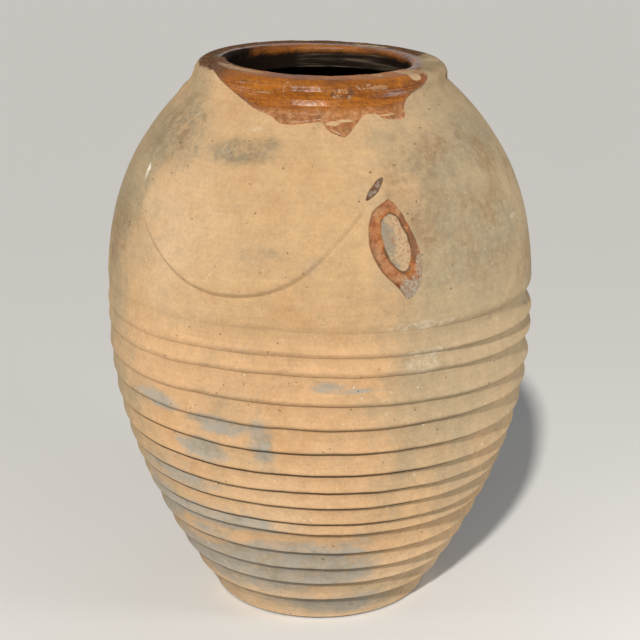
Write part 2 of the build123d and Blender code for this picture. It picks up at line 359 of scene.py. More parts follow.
def course_section(sizes, low, high, tint):
    """Half-section of a lapped course."""
    section = Section(tint)
    section.run(lip_roll(sizes, low))
    section.run(band_face(sizes, low, high))
    section.run(straight(groove_point(sizes, high), joint_inside(sizes, high), 3))
    section.run(straight(joint_inside(sizes, high), joint_inside(sizes, low), 8), inside=1.0)
    section.run(straight(joint_inside(sizes, low), groove_point(sizes, low), 3))
    section.shade_grooves((low, high), GROOVE_REACH)
    return section


def floor_edge(sizes, z):
    """The leaning edge of the floor, inside the foot."""
    lean = 0.45
    return sizes.floor_radius - lean * (sizes.floor_thickness - z), z


def foot_section(sizes, high):
    """Half-section of the lowest course."""
    section = Section()
    section.run(straight(floor_edge(sizes, 0), groove_point(sizes, 0), 4))
    section.run(lip_roll(sizes, 0))
    section.run(band_face(sizes, 0, high))
    section.run(straight(groove_point(sizes, high), joint_inside(sizes, high), 3))
    inner_foot = floor_edge(sizes, sizes.floor_thickness)
    section.run(straight(joint_inside(sizes, high), inner_foot, 8), inside=1.0)
    section.run(straight(inner_foot, floor_edge(sizes, 0), 4))
    section.shade_grooves((0, high), GROOVE_REACH)
    return section


def floor_section(sizes):
    """Half-section of the floor disc, which closes to a pinhole on the axis."""
    top, under = floor_edge(sizes, sizes.floor_thickness), floor_edge(sizes, 0)
    section = Section()
    section.run(straight((0, 0), under, 24))
    section.run(straight(under, top, 4))
    section.run(straight(top, (0, sizes.floor_thickness), 24), inside=1.0)
    section.run([(0, sizes.floor_thickness)], inside=1.0)
    return section


def shoulder_inner(sizes, z):
    """Inside of the shoulder at a height, found by halving along the body curve."""
    low, high = z - sizes.wall, min(z + 2 * sizes.wall, sizes.neck_foot)
    for _ in range(40):
        middle = (low + high) / 2
        if wall_point(sizes, middle, -sizes.wall)[1] < z:
            low = middle
        else:
            high = middle
    return wall_point(sizes, low, -sizes.wall)[0], z


def shoulder_section(sizes, low, high, first, last, spacing=0.0024):
    """Half-section of one course of the smooth shoulder between two heights."""
    section = Section()
    start = low + lip_rise(sizes, low) if first else low
    if first:
        section.run(lip_roll(sizes, low))
    steps = round((high - start) / spacing)
    section.run([wall_point(sizes, start + (high - start) * step / steps, 0) for step in range(steps)])
    inner_top = neck_inside(sizes) if last else shoulder_inner(sizes, high)
    inner_low = joint_inside(sizes, low) if first else shoulder_inner(sizes, low)
    section.run(straight(wall_point(sizes, high, 0), inner_top, 3))
    section.run([inner_top], inside=1.0)
    heights = [z for z, in straight((inner_top[1],), (inner_low[1],), 12)]
    section.run([shoulder_inner(sizes, z) for z in heights[1:]], inside=1.0)
    section.run(straight(inner_low, groove_point(sizes, low) if first else wall_point(sizes, low, 0), 3))
    if first:
        section.shade_grooves((low,), SOFT_GROOVE_REACH)
    return section


def rim_outline(sizes):
    """The lip's outside from its foot, over the top, to the mouth's edge."""
    outer_round, inner_round, dish = 0.015, 0.007, 0.0005
    radius, mouth, top = sizes.neck_radius, sizes.mouth_radius, sizes.height
    points = straight((radius, lip_foot(sizes)), (radius, top - outer_round), 8)
    points += arc((radius - outer_round, top - outer_round), outer_round, 0, pi / 2, 12)
    points += straight((radius - outer_round, top), (mouth + inner_round, top - dish), 12)
    points += arc((mouth + inner_round, top - dish - inner_round), inner_round, pi / 2, pi, 9)
    return points + [(mouth, top - dish - inner_round)]


def neck_outline(sizes, steps=14):
    """The neck's hollow curve, from the shoulder up to the lip."""
    near, pull, upper_pull = 0.001, 0.5, 0.7
    start = wall_point(sizes, sizes.neck_foot, 0)
    end = (sizes.neck_radius, lip_foot(sizes))
    below = wall_point(sizes, sizes.neck_foot - near, 0)
    lean = Vector(start) - Vector(below)
    reach = pull * (Vector(end) - Vector(start)).length
    first = Vector(start) + lean.normalized() * reach
    second = Vector(end) - Vector((0, upper_pull * reach))
    points = []
    for step in range(steps):
        share = step / steps
        rest = 1 - share
        weights = (rest ** 3, 3 * rest ** 2 * share, 3 * rest * share ** 2, share ** 3)
        rows = zip(start, first, second, end)
        points.append(tuple(sum(weight * value for weight, value in zip(weights, row)) for row in rows))
    return points


def neck_section(sizes):
    """Half-section of the neck collar."""
    section = Section()
    section.run(neck_outline(sizes))
    section.run(straight((sizes.neck_radius, lip_foot(sizes)), lip_inside(sizes), 4))
    section.run(straight(lip_inside(sizes), neck_inside(sizes), 8), inside=1.0)
    section.run(straight(neck_inside(sizes), wall_point(sizes, sizes.neck_foot, 0), 3))
    return section


def lip_section(sizes):
    """Half-section of the lip."""
    outline = rim_outline(sizes)
    section = Section()
    section.run(outline[:-1])
    section.run(straight(outline[-1], lip_inside(sizes), 8))
    section.run(straight(lip_inside(sizes), outline[0], 4))
    return section


# Node helpers

class Value:
    """An output of a node; sums, differences, products and quotients of it are math nodes."""

    def __init__(self, graph, socket):
        self.graph, self.socket = graph, socket

    def __add__(self, other):
        return self.graph.math("ADD", self, other)

    def __radd__(self, other):
        return self.graph.math("ADD", other, self)

    def __sub__(self, other):
        return self.graph.math("SUBTRACT", self, other)

    def __rsub__(self, other):
        return self.graph.math("SUBTRACT", other, self)

    def __mul__(self, other):
        return self.graph.math("MULTIPLY", self, other)

    def __rmul__(self, other):
        return self.graph.math("MULTIPLY", other, self)

    def __truediv__(self, other):
        return self.graph.math("DIVIDE", self, other)


class Graph:
    """Adds nodes to a tree and joins them; plain values are set on the sockets."""

    def __init__(self, tree):
        self.tree = tree

    def add(self, kind, settings=None, inputs=None):
        node = self.tree.nodes.new(kind)
        for name, value in (settings or {}).items():
            setattr(node, name, value)
        for key, value in (inputs or {}).items():
            self.feed(node.inputs[key], value)
        return node

    def feed(self, socket, value):
        if isinstance(value, Value):
            self.tree.links.new(value.socket, socket)
        elif socket.type == "RGBA":
            socket.default_value = (*value[:3], 1.0)
        else:
            socket.default_value = value

    def outputs(self, kind, settings=None, inputs=None):
        """The outputs of a new node, by name."""
        return {socket.name: Value(self, socket) for socket in self.add(kind, settings, inputs).outputs}

    def made(self, kind, settings=None, inputs=None, output=0):
        """One output of a new node."""
        return Value(self, self.add(kind, settings, inputs).outputs[output])

    def math(self, operation, *values):
        return self.made("ShaderNodeMath", {"operation": operation}, dict(enumerate(values)))

    def most(self, *values):
        most = values[0]
        for value in values[1:]:
            most = self.math("MAXIMUM", most, value)
        return most

    def root_of_squares(self, first, second):
        return self.math("SQRT", first * first + second * second)

    def vector(self, operation, *values):
        return self.made("ShaderNodeVectorMath", {"operation": operation}, dict(enumerate(values)))

    def stretch(self, vector, across, up):
        return self.vector("MULTIPLY", vector, (across, across, up))

    def noise(self, vector, scale, detail=2.0, roughness=0.5, seed=0.0, distortion=0.0):
        return self.made("ShaderNodeTexNoise", {"noise_dimensions": "4D"},
                         {"Vector": vector, "W": seed, "Scale": scale, "Detail": detail,
                          "Roughness": roughness, "Distortion": distortion})

    def cell_edges(self, vector, scale):
        return self.made("ShaderNodeTexVoronoi", {"feature": "DISTANCE_TO_EDGE"},
                         {"Vector": vector, "Scale": scale})

    def dots(self, vector, scale, size, share):
        """Scattered round dots of differing size in a share of the cells."""
        cells = self.outputs("ShaderNodeTexVoronoi", None, {"Vector": vector, "Scale": scale})
        pick, spread, _ = self.split(cells["Color"])
        least = 0.35
        reach = size * (least + spread * spread)
        dot = self.ramp(cells["Distance"] / reach, 1.0, 0.55)
        return dot * self.math("LESS_THAN", pick, share)

    def ramp(self, value, low, high, start=0.0, end=1.0):
        """A soft step from start to end as the value goes from low to high."""
        return self.made("ShaderNodeMapRange", {"interpolation_type": "SMOOTHSTEP"},
                         {0: value, 1: low, 2: high, 3: start, 4: end})

    def blend(self, share, first, second):
        return self.made("ShaderNodeMix", {"data_type": "RGBA"}, {0: share, 6: first, 7: second}, 2)

    def laid(self, colour, over, mask, low, high, most=1.0):
        """A colour with another laid over it as the mask goes from low to high."""
        return self.blend(self.ramp(mask, low, high, 0.0, most), colour, over)

    def scaled(self, vector, amount):
        return self.vector("MULTIPLY", vector, self.join(amount, amount, amount))

    def split(self, vector):
        return list(self.outputs("ShaderNodeSeparateXYZ", None, {0: vector}).values())

    def join(self, x, y, z):
        return self.made("ShaderNodeCombineXYZ", None, {0: x, 1: y, 2: z})

    def stored(self, label):
        """A mesh's own numbers, in a Geometry Nodes tree."""
        return self.made("GeometryNodeInputNamedAttribute", {"data_type": "FLOAT"}, {"Name": label})

    def above(self, value, limit):
        return self.made("FunctionNodeCompare", {"data_type": "FLOAT", "operation": "GREATER_THAN"},
                         {0: value, 1: limit})


def new_tree(name, inputs):
    """A Geometry Nodes tree with a geometry input and output, and named inputs by socket type."""
    tree = bpy.data.node_groups.new(name, "GeometryNodeTree")
    tree.interface.new_socket("Geometry", in_out="INPUT", socket_type="NodeSocketGeometry")
    for label, kind in inputs:
        tree.interface.new_socket(label, in_out="INPUT", socket_type="NodeSocket" + kind)
    tree.interface.new_socket("Geometry", in_out="OUTPUT", socket_type="NodeSocketGeometry")
    graph = Graph(tree)
    return tree, graph, graph.outputs("NodeGroupInput")


def curve_radius(graph, z, sizes):
    """Outer radius of the body at a height, as nodes."""
    def fall(distance, reach, fullness, narrowing):
        share = graph.most(distance / reach, 0.0)
        return graph.math("POWER", share, fullness) * narrowing

    below = fall(sizes.belly_height - z, sizes.belly_height, sizes.lower_fullness,
                 sizes.belly_radius - sizes.base_radius)
    above = fall(z - sizes.belly_height, sizes.neck_foot - sizes.belly_height, sizes.upper_fullness,
                 sizes.belly_radius - sizes.neck_radius - sizes.neck_flare)
    return sizes.belly_radius - (below + above)


def lap_sag(graph, x, z, position, wave, seed):
    """How far the laps lie above or below level: they wander, and hang lower on the right."""
    sway = graph.noise(graph.stretch(position, 1.0, 2.4), 4.2, 1.5, 0.5, seed + 19.0)
    ripple = graph.noise(graph.stretch(position, 1.0, 1.5), 17.0, 1.5, 0.5, seed + 23.0)
    lift = (sway - 0.5) * 2.0 + (ripple - 0.5) * 0.6
    front, tilt, bow, top = 0.003, 0.024, 0.11, 0.004
    hang = front + x * tilt + x * x * bow + graph.ramp(z, 0.44, 0.50, 0.0, top)
    free = graph.ramp(z, 0.0, 0.11) * graph.ramp(z, 0.53, 0.49)
    return (lift * wave - hang) * free


def lap_change(graph, z, radial):
    """How much deeper than drawn the laps are: shallower on the left, deeper on the right."""
    side = graph.split(radial)[0]
    right = graph.ramp(side, 0.30, 0.95) * graph.ramp(z, 0.39, 0.47, 0.45, 2.2)
    return graph.stored("lap") * (right - graph.ramp(side, -0.35, -0.95, 0.0, 0.5))


def rim_shift(graph, x, z, radius, radial, position, wobble, seed):
    """How far the rim strays: it dips to the right, is pitted, and slopes straight down on its left."""
    least_dip, right_dip, lean_in, lean_out = 0.0002, 0.0045, -0.005, 0.003
    lumps = graph.noise(position, 36.0, 4.0, 0.7, seed + 29.0)
    high = graph.ramp(z, 0.770, 0.790)
    pitted = lumps * wobble * graph.ramp(x, -0.17, 0.02, 0.25, 1.0)
    dip = high * (least_dip + graph.ramp(x, -0.17, 0.19, 0.0, right_dip) + pitted) * -1.0
    left = graph.ramp(graph.split(radial)[0], -0.30, -0.95)
    outer = graph.ramp(radius, 0.140, 0.168)
    lean = (graph.ramp(z, 0.766, 0.800) * lean_in
            + graph.ramp(z, 0.742, 0.758) * graph.ramp(z, 0.782, 0.764) * lean_out)
    return left * outer * lean, dip


def hand_shift(graph, position, wobble, wave, seed, sizes):
    """How far the hand-built jar lies from the true one: mostly inwards, and up or down along its curve."""
    x, y, z = graph.split(position)
    radius = graph.root_of_squares(x, y)
    radial = graph.vector("NORMALIZE", graph.join(x, y, 0.0))
    slow = graph.noise(graph.stretch(position, 1.0, 1.6), 3.0, 1.0, 0.5, seed)
    bands = graph.noise(graph.stretch(position, 1.0, 4.5), 5.0, 2.0, 0.55, seed + 7.0)
    fine = graph.noise(graph.stretch(position, 1.0, 2.0), 38.0, 4.0, 0.65, seed + 13.0)
    depth = slow * 0.42 + bands * 0.38 + fine * 0.3
    sag = lap_sag(graph, x, z, position, wave, seed)
    slide = curve_radius(graph, z + sag, sizes) - curve_radius(graph, z, sizes)
    lean, dip = rim_shift(graph, x, z, radius, radial, position, wobble, seed)
    inward = depth * wobble + lap_change(graph, z, radial)
    shift = graph.scaled(radial, slide + lean - inward)
    return graph.vector("ADD", shift, graph.join(0.0, 0.0, sag + dip))


def hand_built(graph, mesh, inputs, sizes):
    """The mesh moved from the true jar to the hand-built one and shaded, with its corners kept sharp."""
    sharp = radians(42)
    shift = hand_shift(graph, graph.made("GeometryNodeInputPosition"), inputs["Wobble"], inputs["Wave"],
                       inputs["Seed"], sizes)
    mesh = graph.made("GeometryNodeSetPosition", None, {"Geometry": mesh, "Offset": shift})
    mesh = graph.made("GeometryNodeSetShadeSmooth", None, {0: mesh})
    angle = graph.made("GeometryNodeInputMeshEdgeAngle", output="Unsigned Angle")
    mesh = graph.made("GeometryNodeSetShadeSmooth", {"domain": "EDGE"},
                      {"Geometry": mesh, "Selection": graph.above(angle, sharp), "Shade Smooth": False})
    return graph.made("GeometryNodeRealizeInstances", None, {0: mesh})


HAND_INPUTS = [("Wobble", "Float"), ("Wave", "Float"), ("Seed", "Float")]


def turning_tree(sizes):
    """Turns the object's half-section about Z into a closed ring and gives it the hand-built shape."""
    joined = 0.00002
    tree, graph, inputs = new_tree("Turned ring", [("Segments", "Int"), *HAND_INPUTS, ("Outside", "Material"),
                                                   ("Inside", "Material")])
    section = inputs["Geometry"]
    count = graph.made("GeometryNodeAttributeDomainSize", {"component": "MESH"}, {0: section})
    columns = count + 1.0
    rows = inputs["Segments"] + 1.0
    ring = graph.made("GeometryNodeMeshGrid", None, {"Vertices X": rows, "Vertices Y": columns})
    index = graph.made("GeometryNodeInputIndex")
    step = graph.math("FLOOR", (index + 0.5) / columns)
    along = index - step * columns
    closing = graph.math("GREATER_THAN", along, count - 0.5)
    along = along - count * closing
    angle = step / inputs["Segments"] * tau

    def sampled(kind, value):
        return graph.made("GeometryNodeSampleIndex", {"data_type": kind, "domain": "POINT"},
                          {"Geometry": section, "Value": value, "Index": along})

    here = graph.made("GeometryNodeInputPosition")
    radius, _, height = graph.split(sampled("FLOAT_VECTOR", here))
    place = graph.join(radius * graph.math("SINE", angle), radius * graph.math("COSINE", angle), height)
    for label in ("groove", "inside", "tint", "lap"):
        values = sampled("FLOAT", graph.stored(label))
        ring = graph.made("GeometryNodeStoreNamedAttribute", {"data_type": "FLOAT", "domain": "POINT"},
                          {"Geometry": ring, "Name": label, "Value": values})
    ring = graph.made("GeometryNodeSetPosition", None, {"Geometry": ring, "Position": place})
    ring = graph.made("GeometryNodeMergeByDistance", None, {"Geometry": ring, "Distance": joined})
    ring = hand_built(graph, ring, inputs, sizes)
    ring = graph.made("GeometryNodeSetMaterial", None, {"Geometry": ring, "Material": inputs["Outside"]})
    ring = graph.made("GeometryNodeSetMaterial", None,
                      {"Geometry": ring, "Selection": graph.above(graph.stored("inside"), 0.5),
                       "Material": inputs["Inside"]})
    graph.add("NodeGroupOutput", None, {0: ring})
    return tree


def fitting_tree(sizes):
    """Gives a piece that lies on the true jar the same hand-built shape as the wall under it."""
    tree, graph, inputs = new_tree("Fitted to the wall", [*HAND_INPUTS, ("Finish", "Material")])
    piece = hand_built(graph, inputs["Geometry"], inputs, sizes)
    piece = graph.made("GeometryNodeSetMaterial", None, {"Geometry": piece, "Material": inputs["Finish"]})
    graph.add("NodeGroupOutput", None, {0: piece})
    return tree


def linked(name, data):
    """A new object in the scene."""
    made = bpy.data.objects.new(name, data)
    bpy.context.scene.collection.objects.link(made)
    return made


def grown(name, mesh, tree, values):
    """An object whose mesh is what a tree makes of it, as plain faces that point outwards."""
    piece = linked(name, mesh)
    modifier = piece.modifiers.new(tree.name, "NODES")
    modifier.node_group = tree
    for item in tree.interface.items_tree:
        if item.in_out == "INPUT" and item.name in values:
            modifier[item.identifier] = values[item.name]
    made = bpy.data.meshes.new_from_object(piece.evaluated_get(bpy.context.evaluated_depsgraph_get()))
    piece.modifiers.clear()
    piece.data = made
    made.name = name
    if not made.polygons:
        raise RuntimeError(f"{name} came out with no faces")
    shell = bmesh.new()
    shell.from_mesh(made)
    bmesh.ops.recalc_face_normals(shell, faces=shell.faces)
    shell.to_mesh(made)
    shell.free()
    return piece


def dressed(node, mesh, tree_name, maker, sizes, attributes, values):
    """A piece that a tree makes from a mesh with attributes, in place of a node."""
    for label, numbers in attributes.items():
        mesh.attributes.new(label, "FLOAT", "POINT").data.foreach_set("value", numbers)
    tree = bpy.data.node_groups.get(tree_name) or maker(sizes)
    piece = grown("dressed_" + node, mesh, tree, values)
    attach(piece, "root")
    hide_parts(node)


def hand_values(sizes):
    return {"Wobble": sizes.wobble, "Wave": sizes.wave, "Seed": sizes.seed}


def turned(node, section, sizes, outside, inside):
    """A ring turned from a half-section, in place of a node."""
    mesh = bpy.data.meshes.new(node + "_section")
    count = len(section.points)
    edges = [(step, (step + 1) % count) for step in range(count)]
    mesh.from_pydata([(radius, 0, z) for radius, z in section.points], edges, [])
    values = {**hand_values(sizes), "Segments": sizes.segments, "Outside": outside, "Inside": inside}
    attributes = {"groove": section.groove, "inside": section.inside, "tint": [section.tint] * count,
                  "lap": [lap_depth(sizes, *point) for point in section.points]}
    dressed(node, mesh, "Turned ring", turning_tree, sizes, attributes, values)


def fitted(node, vertices, faces, sizes, finish, attributes):
    """A piece that lies on the wall, in place of a node."""
    mesh = bpy.data.meshes.new(node + "_true")
    mesh.from_pydata(vertices, [], faces)
    values = {**hand_values(sizes), "Finish": finish}
    dressed(node, mesh, "Fitted to the wall", fitting_tree, sizes, attributes, values)


# Materials

class Finish:
    """A new material with its surface coordinates ready: place, angle from the front, height and radius."""

    def __init__(self, name):
        self.material = bpy.data.materials.new(name)
        self.material.use_nodes = True
        tree = self.material.node_tree
        tree.nodes.clear()
        self.graph = graph = Graph(tree)
        self.place = graph.made("ShaderNodeTexCoord", output="Object")
        self.across, y, self.height = graph.split(self.place)
        turn = graph.math("ARCTAN2", self.across, y * -1.0)
        self.azimuth = turn * degrees(1)
        self.radius = graph.root_of_squares(self.across, y)

    def noise(self, scale, detail, roughness, seed, across=1.0, up=1.0, distortion=0.0):
        place = self.graph.stretch(self.place, across, up)
        return self.graph.noise(place, scale, detail, roughness, seed, distortion)

    def attribute(self, name):
        return self.graph.made("ShaderNodeAttribute", {"attribute_name": name}, output="Fac")

    def ovals(self, places, ragged=0.0, level=None, outer=1.0, inner=0.55):
        """Ragged ovals at places on the surface, by height or by another level."""
        graph, masks = self.graph, []
        for azimuth, middle, half_angle, half_level, strength in places:
            turned_by = graph.math("WRAP", self.azimuth - azimuth, 180.0, -180.0)
            across = turned_by / half_angle
            up = ((level or self.height) - middle) / half_level
            far = graph.root_of_squares(across, up)
            masks.append(graph.ramp(far + ragged, outer, inner) * strength)
        return graph.most(*masks)

    def ragged(self, scale, amount, seed):
        """Noise about 0, to roughen an edge."""
        return (self.noise(scale, 5.0, 0.65, seed) - 0.5) * amount

    def close(self, colour, relief, roughness, strength, distance, specular):
        """Joins the colour and the relief to the shader, and gives the material."""
        graph = self.graph
        bump = graph.made("ShaderNodeBump", None,
                          {"Height": relief, "Strength": strength, "Distance": distance})
        shader = graph.made("ShaderNodeBsdfPrincipled", None,
                            {"Base Color": colour, "Roughness": roughness, "Normal": bump,
                             "Specular IOR Level": specular})
        graph.add("ShaderNodeOutputMaterial", None, {0: shader})
        return self.material


def clay_layers(finish, colours):
    """Colour and relief of weathered, hand-smoothed clay."""
    graph = finish.graph
    broad = finish.noise(2.8, 3.0, 0.55, 1.0)
    middle = finish.noise(13.0, 6.0, 0.66, 2.0)
    mottle = finish.noise(42.0, 7.0, 0.72, 5.0)
    grain = finish.noise(210.0, 4.0, 0.75, 3.0)
    brushed = finish.noise(1.0, 4.0, 0.65, 4.0, across=7.0, up=210.0)
    lapped = graph.ramp(finish.height, 0.53, 0.44)
    colour = graph.blend(lapped, colours.clay_tan, colours.clay_peach)
    # Paler towards the foot: painted light, making up for the light the foot's downward faces miss.
    colour = graph.laid(colour, colours.clay_pale, finish.height, 0.18, 0.05, 0.75)
    colour = graph.laid(colour, colours.clay_pale, broad, 0.45, 0.68, 0.55)
    colour = graph.laid(colour, colours.clay_blush, middle, 0.50, 0.74, 0.55)
    colour = weathered(finish, colours, colour, middle, mottle)
    tone = 0.32 + mottle * 0.62 + grain * 0.54 + brushed * 0.22
    relief = grain * 0.45 + brushed * 0.4 + mottle * 1.5
    return graph.scaled(colour, tone), middle, relief


def weathered(finish, colours, colour, middle, mottle):
    """Adds the pale and dark weathering of the sides and the shoulder, with painted shade making both sides
    greyer.
    """
    graph = finish.graph
    # The olive wash: random weathering patches, laid stronger towards both sides as painted side shade.
    side = finish.across / finish.radius
    right = graph.ramp(side, -0.14, 0.74) * graph.ramp(finish.height, 0.14, 0.40, 0.45, 1.0)
    left = graph.ramp(side, -0.67, -0.98, 0.0, 0.7)
    olive_wash_and_side_shade = finish.noise(6.0, 7.0, 0.7, 6.0) + graph.most(right, left) * 0.34
    colour = graph.laid(colour, colours.olive, olive_wash_and_side_shade, 0.52, 0.80, 0.9)
    streaks = finish.noise(1.0, 6.0, 0.7, 8.0, across=26.0, up=3.0)
    pull = finish.ovals(GREY_BLOOM, outer=1.5, inner=0.0)
    cloud = finish.noise(15.0, 8.0, 0.78, 9.0) * 0.55 + mottle * 0.25 + streaks * 0.2 + pull * 0.27
    dark = graph.blend(graph.ramp(middle, 0.42, 0.60), colours.bloom, colours.umber)
    broken = graph.ramp(finish.noise(85.0, 7.0, 0.8, 10.0), 0.36, 0.58, 0.30, 1.0)
    colour = graph.blend(graph.ramp(cloud, 0.52, 0.72) * broken * 0.95, colour, dark)
    run_down = graph.ramp(streaks, 0.50, 0.72) * right * graph.ramp(finish.height, 0.48, 0.56, 0.3, 0.8)
    return graph.blend(run_down * broken, colour, colours.umber)


def stained(finish, colours, colour):
    """Adds the grey mineral stains, which change from course to course, and faint cracks."""
    graph = finish.graph
    cloud = finish.noise(11.0, 8.0, 0.7, 11.0, up=2.4, distortion=0.6)
    course = 0.50 + finish.attribute("tint") * 0.8
    pull = finish.ovals(GREY_STAINS, outer=1.45, inner=0.0) * course
    mask = graph.ramp(cloud + pull * 0.44, 0.60, 0.84)
    mask = mask * graph.ramp(finish.noise(48.0, 8.0, 0.8, 14.0), 0.30, 0.56, 0.5, 1.0)
    grey = graph.laid(colours.stain, colours.bloom, finish.noise(33.0, 7.0, 0.75, 18.0), 0.46, 0.66, 0.7)
    colour = graph.blend(mask, colour, grey)
    pale = (finish.ovals(PALE_WEAR, finish.ragged(45.0, 1.6, 16.0))
            * graph.ramp(finish.noise(130.0, 6.0, 0.8, 17.0), 0.42, 0.60))
    colour = graph.blend(pale * 0.7, colour, colours.grit)
    sway = finish.ragged(26.0, 0.012, 13.0)
    bent = graph.vector("ADD", finish.place, graph.join(sway, sway, sway))
    crack = graph.ramp(graph.cell_edges(bent, 7.0), 0.005, 0.002)
    cracks = crack * finish.ovals(CRACKED)
    return graph.blend(cracks, colour, colours.dirt_and_shade), cracks


def speckled(finish, colours, colour):
    """Adds dark pits and pale grit."""
    graph = finish.graph
    sway = finish.ragged(150.0, 0.006, 15.0)
    place = graph.vector("ADD", finish.place, graph.join(sway, sway, sway * -0.6))
    pits = graph.dots(place, 84.0, 0.12, 0.60)
    grit = graph.dots(graph.vector("ADD", place, (3.1, 1.7, 0.4)), 80.0, 0.12, 0.56)
    grit = grit * graph.ramp(finish.height, 0.56, 0.44, 0.35, 1.0)
    colour = graph.blend(pits * 0.55, colour, colours.dirt_and_shade)
    return graph.blend(grit * 0.75, colour, colours.grit), pits


def clay_finish(colours):
    """Weathered clay of the wall, shoulder, neck and cordon."""
    finish = Finish("weathered_clay")
    graph = finish.graph
    colour, middle, relief = clay_layers(finish, colours)
    colour, cracks = stained(finish, colours, colour)
    colour, pits = speckled(finish, colours, colour)
    # Lap grooves darkened: partly dirt, partly painted shade under each lap's lip, weaker on the upper laps.
    groove = graph.ramp(finish.attribute("groove"), 0.05, 0.60)
    groove_grime_and_shade = (groove * graph.ramp(middle, 0.30, 0.55, 0.60, 1.0)
            * graph.ramp(finish.height, 0.40, 0.27, 0.12, 1.0))
    colour = graph.blend(groove_grime_and_shade, colour, colours.dirt_and_shade)
    relief = relief - (pits + cracks) * 1.2
    return finish.close(colour, relief, roughness=0.9, strength=0.7, distance=0.0016, specular=0.12)


def glaze_layers(finish, colours):
    """Colour of mottled amber to brown glaze, streaked by the turning."""
    graph = finish.graph
    pool = finish.noise(20.0, 6.0, 0.68, 31.0, up=2.6)
    turned_lines = finish.noise(1.0, 4.0, 0.65, 33.0, across=9.0, up=330.0)
    speckle = finish.noise(330.0, 4.0, 0.75, 32.0)
    share = (pool * 0.5 + turned_lines * 0.35 + speckle * 0.35
             + graph.ramp(finish.across, 0.03, 0.11, 0.0, 0.03))
    colour = graph.blend(graph.ramp(share, 0.50, 0.74), colours.glaze_amber, colours.glaze_brown)
    fleck = finish.noise(150.0, 5.0, 0.8, 34.0)
    colour = graph.laid(colour, colours.glaze_brown, fleck, 0.54, 0.68, 0.8)
    colour = graph.laid(colour, colours.clay_blush, fleck, 0.36, 0.26, 0.5)
    return colour, pool + turned_lines, speckle


def worn_mask(finish):
    """Where the glaze of the rim is worn through or flaked off."""
    graph = finish.graph
    ragged = finish.ragged(70.0, 1.5, 41.0)
    grainy = graph.ramp(finish.noise(200.0, 4.0, 0.75, 42.0), 0.34, 0.50)
    top = finish.ovals(WORN_TOP, ragged, finish.radius) * graph.ramp(finish.height, 0.772, 0.780)
    side = finish.ovals(WORN_SIDE, ragged)
    flakes = graph.ramp(finish.noise(75.0, 5.0, 0.7, 43.0), 0.63, 0.69)
    return graph.most(top, side, flakes * 0.7) * grainy


def run_glaze_finish(colours):
    """Glossy glaze of the run: amber above, russet and drier below."""
    finish = Finish("run_glaze")
    graph = finish.graph
    colour, pool, speckle = glaze_layers(finish, colours)
    edge = finish.attribute("edge")
    low = finish.height + finish.ragged(40.0, 0.02, 44.0)
    dry = graph.most(graph.ramp(edge, 0.35, 0.9), graph.ramp(low, 0.766, 0.752) * 0.8)
    patch = finish.noise(45.0, 7.0, 0.75, 49.0)
    russet = graph.laid(colours.glaze_russet, colours.rim_dull, patch, 0.40, 0.60)
    colour = graph.blend(dry * 0.75, colour, russet)
    thin = graph.ramp(finish.noise(120.0, 6.0, 0.75, 50.0), 0.44, 0.62, 0.1, 0.8)
    colour = graph.blend(graph.ramp(low, 0.768, 0.752) * thin, colour, colours.clay_blush)
    dull_top = graph.ramp(finish.height, 0.785, 0.792) * graph.ramp(finish.azimuth, -34.0, -58.0)
    colour = graph.blend(dull_top * 0.9, colour, worn_top(finish, colours))
    worn = worn_mask(finish)
    colour = graph.blend(worn * 0.85, colour, colours.mortar_cream)
    spots = finish.ovals(WORN_SPOTS, finish.ragged(70.0, 0.6, 59.0), inner=0.75)
    colour = graph.blend(spots * 0.9, colour, colours.mortar_cream)
    crust = (finish.ovals(GLAZE_CRUST, finish.ragged(90.0, 1.4, 45.0))
             * graph.ramp(finish.noise(210.0, 4.0, 0.75, 46.0), 0.47, 0.56))
    grains = graph.laid(colours.dirt_and_shade, colours.mortar_cream, finish.noise(140.0, 2.0, 0.5, 47.0), 0.40, 0.56)
    colour = graph.blend(crust * 0.8, colour, grains)
    gaps = finish.ovals(GLAZE_GAPS, finish.ragged(120.0, 0.9, 48.0))
    colour = graph.blend(gaps, colour, colours.clay_tan)
    dull = graph.most(worn, spots, crust, gaps, dull_top * 0.7)
    roughness = 0.10 + speckle * 0.26 + dull * 0.6 + graph.ramp(finish.height, 0.786, 0.792, 0.0, 0.3)
    relief = speckle * 0.35 + pool + crust * 0.9
    relief = relief - graph.most(worn, spots, gaps) * 0.9
    return finish.close(colour, relief, roughness, strength=0.45, distance=0.0012, specular=0.26)


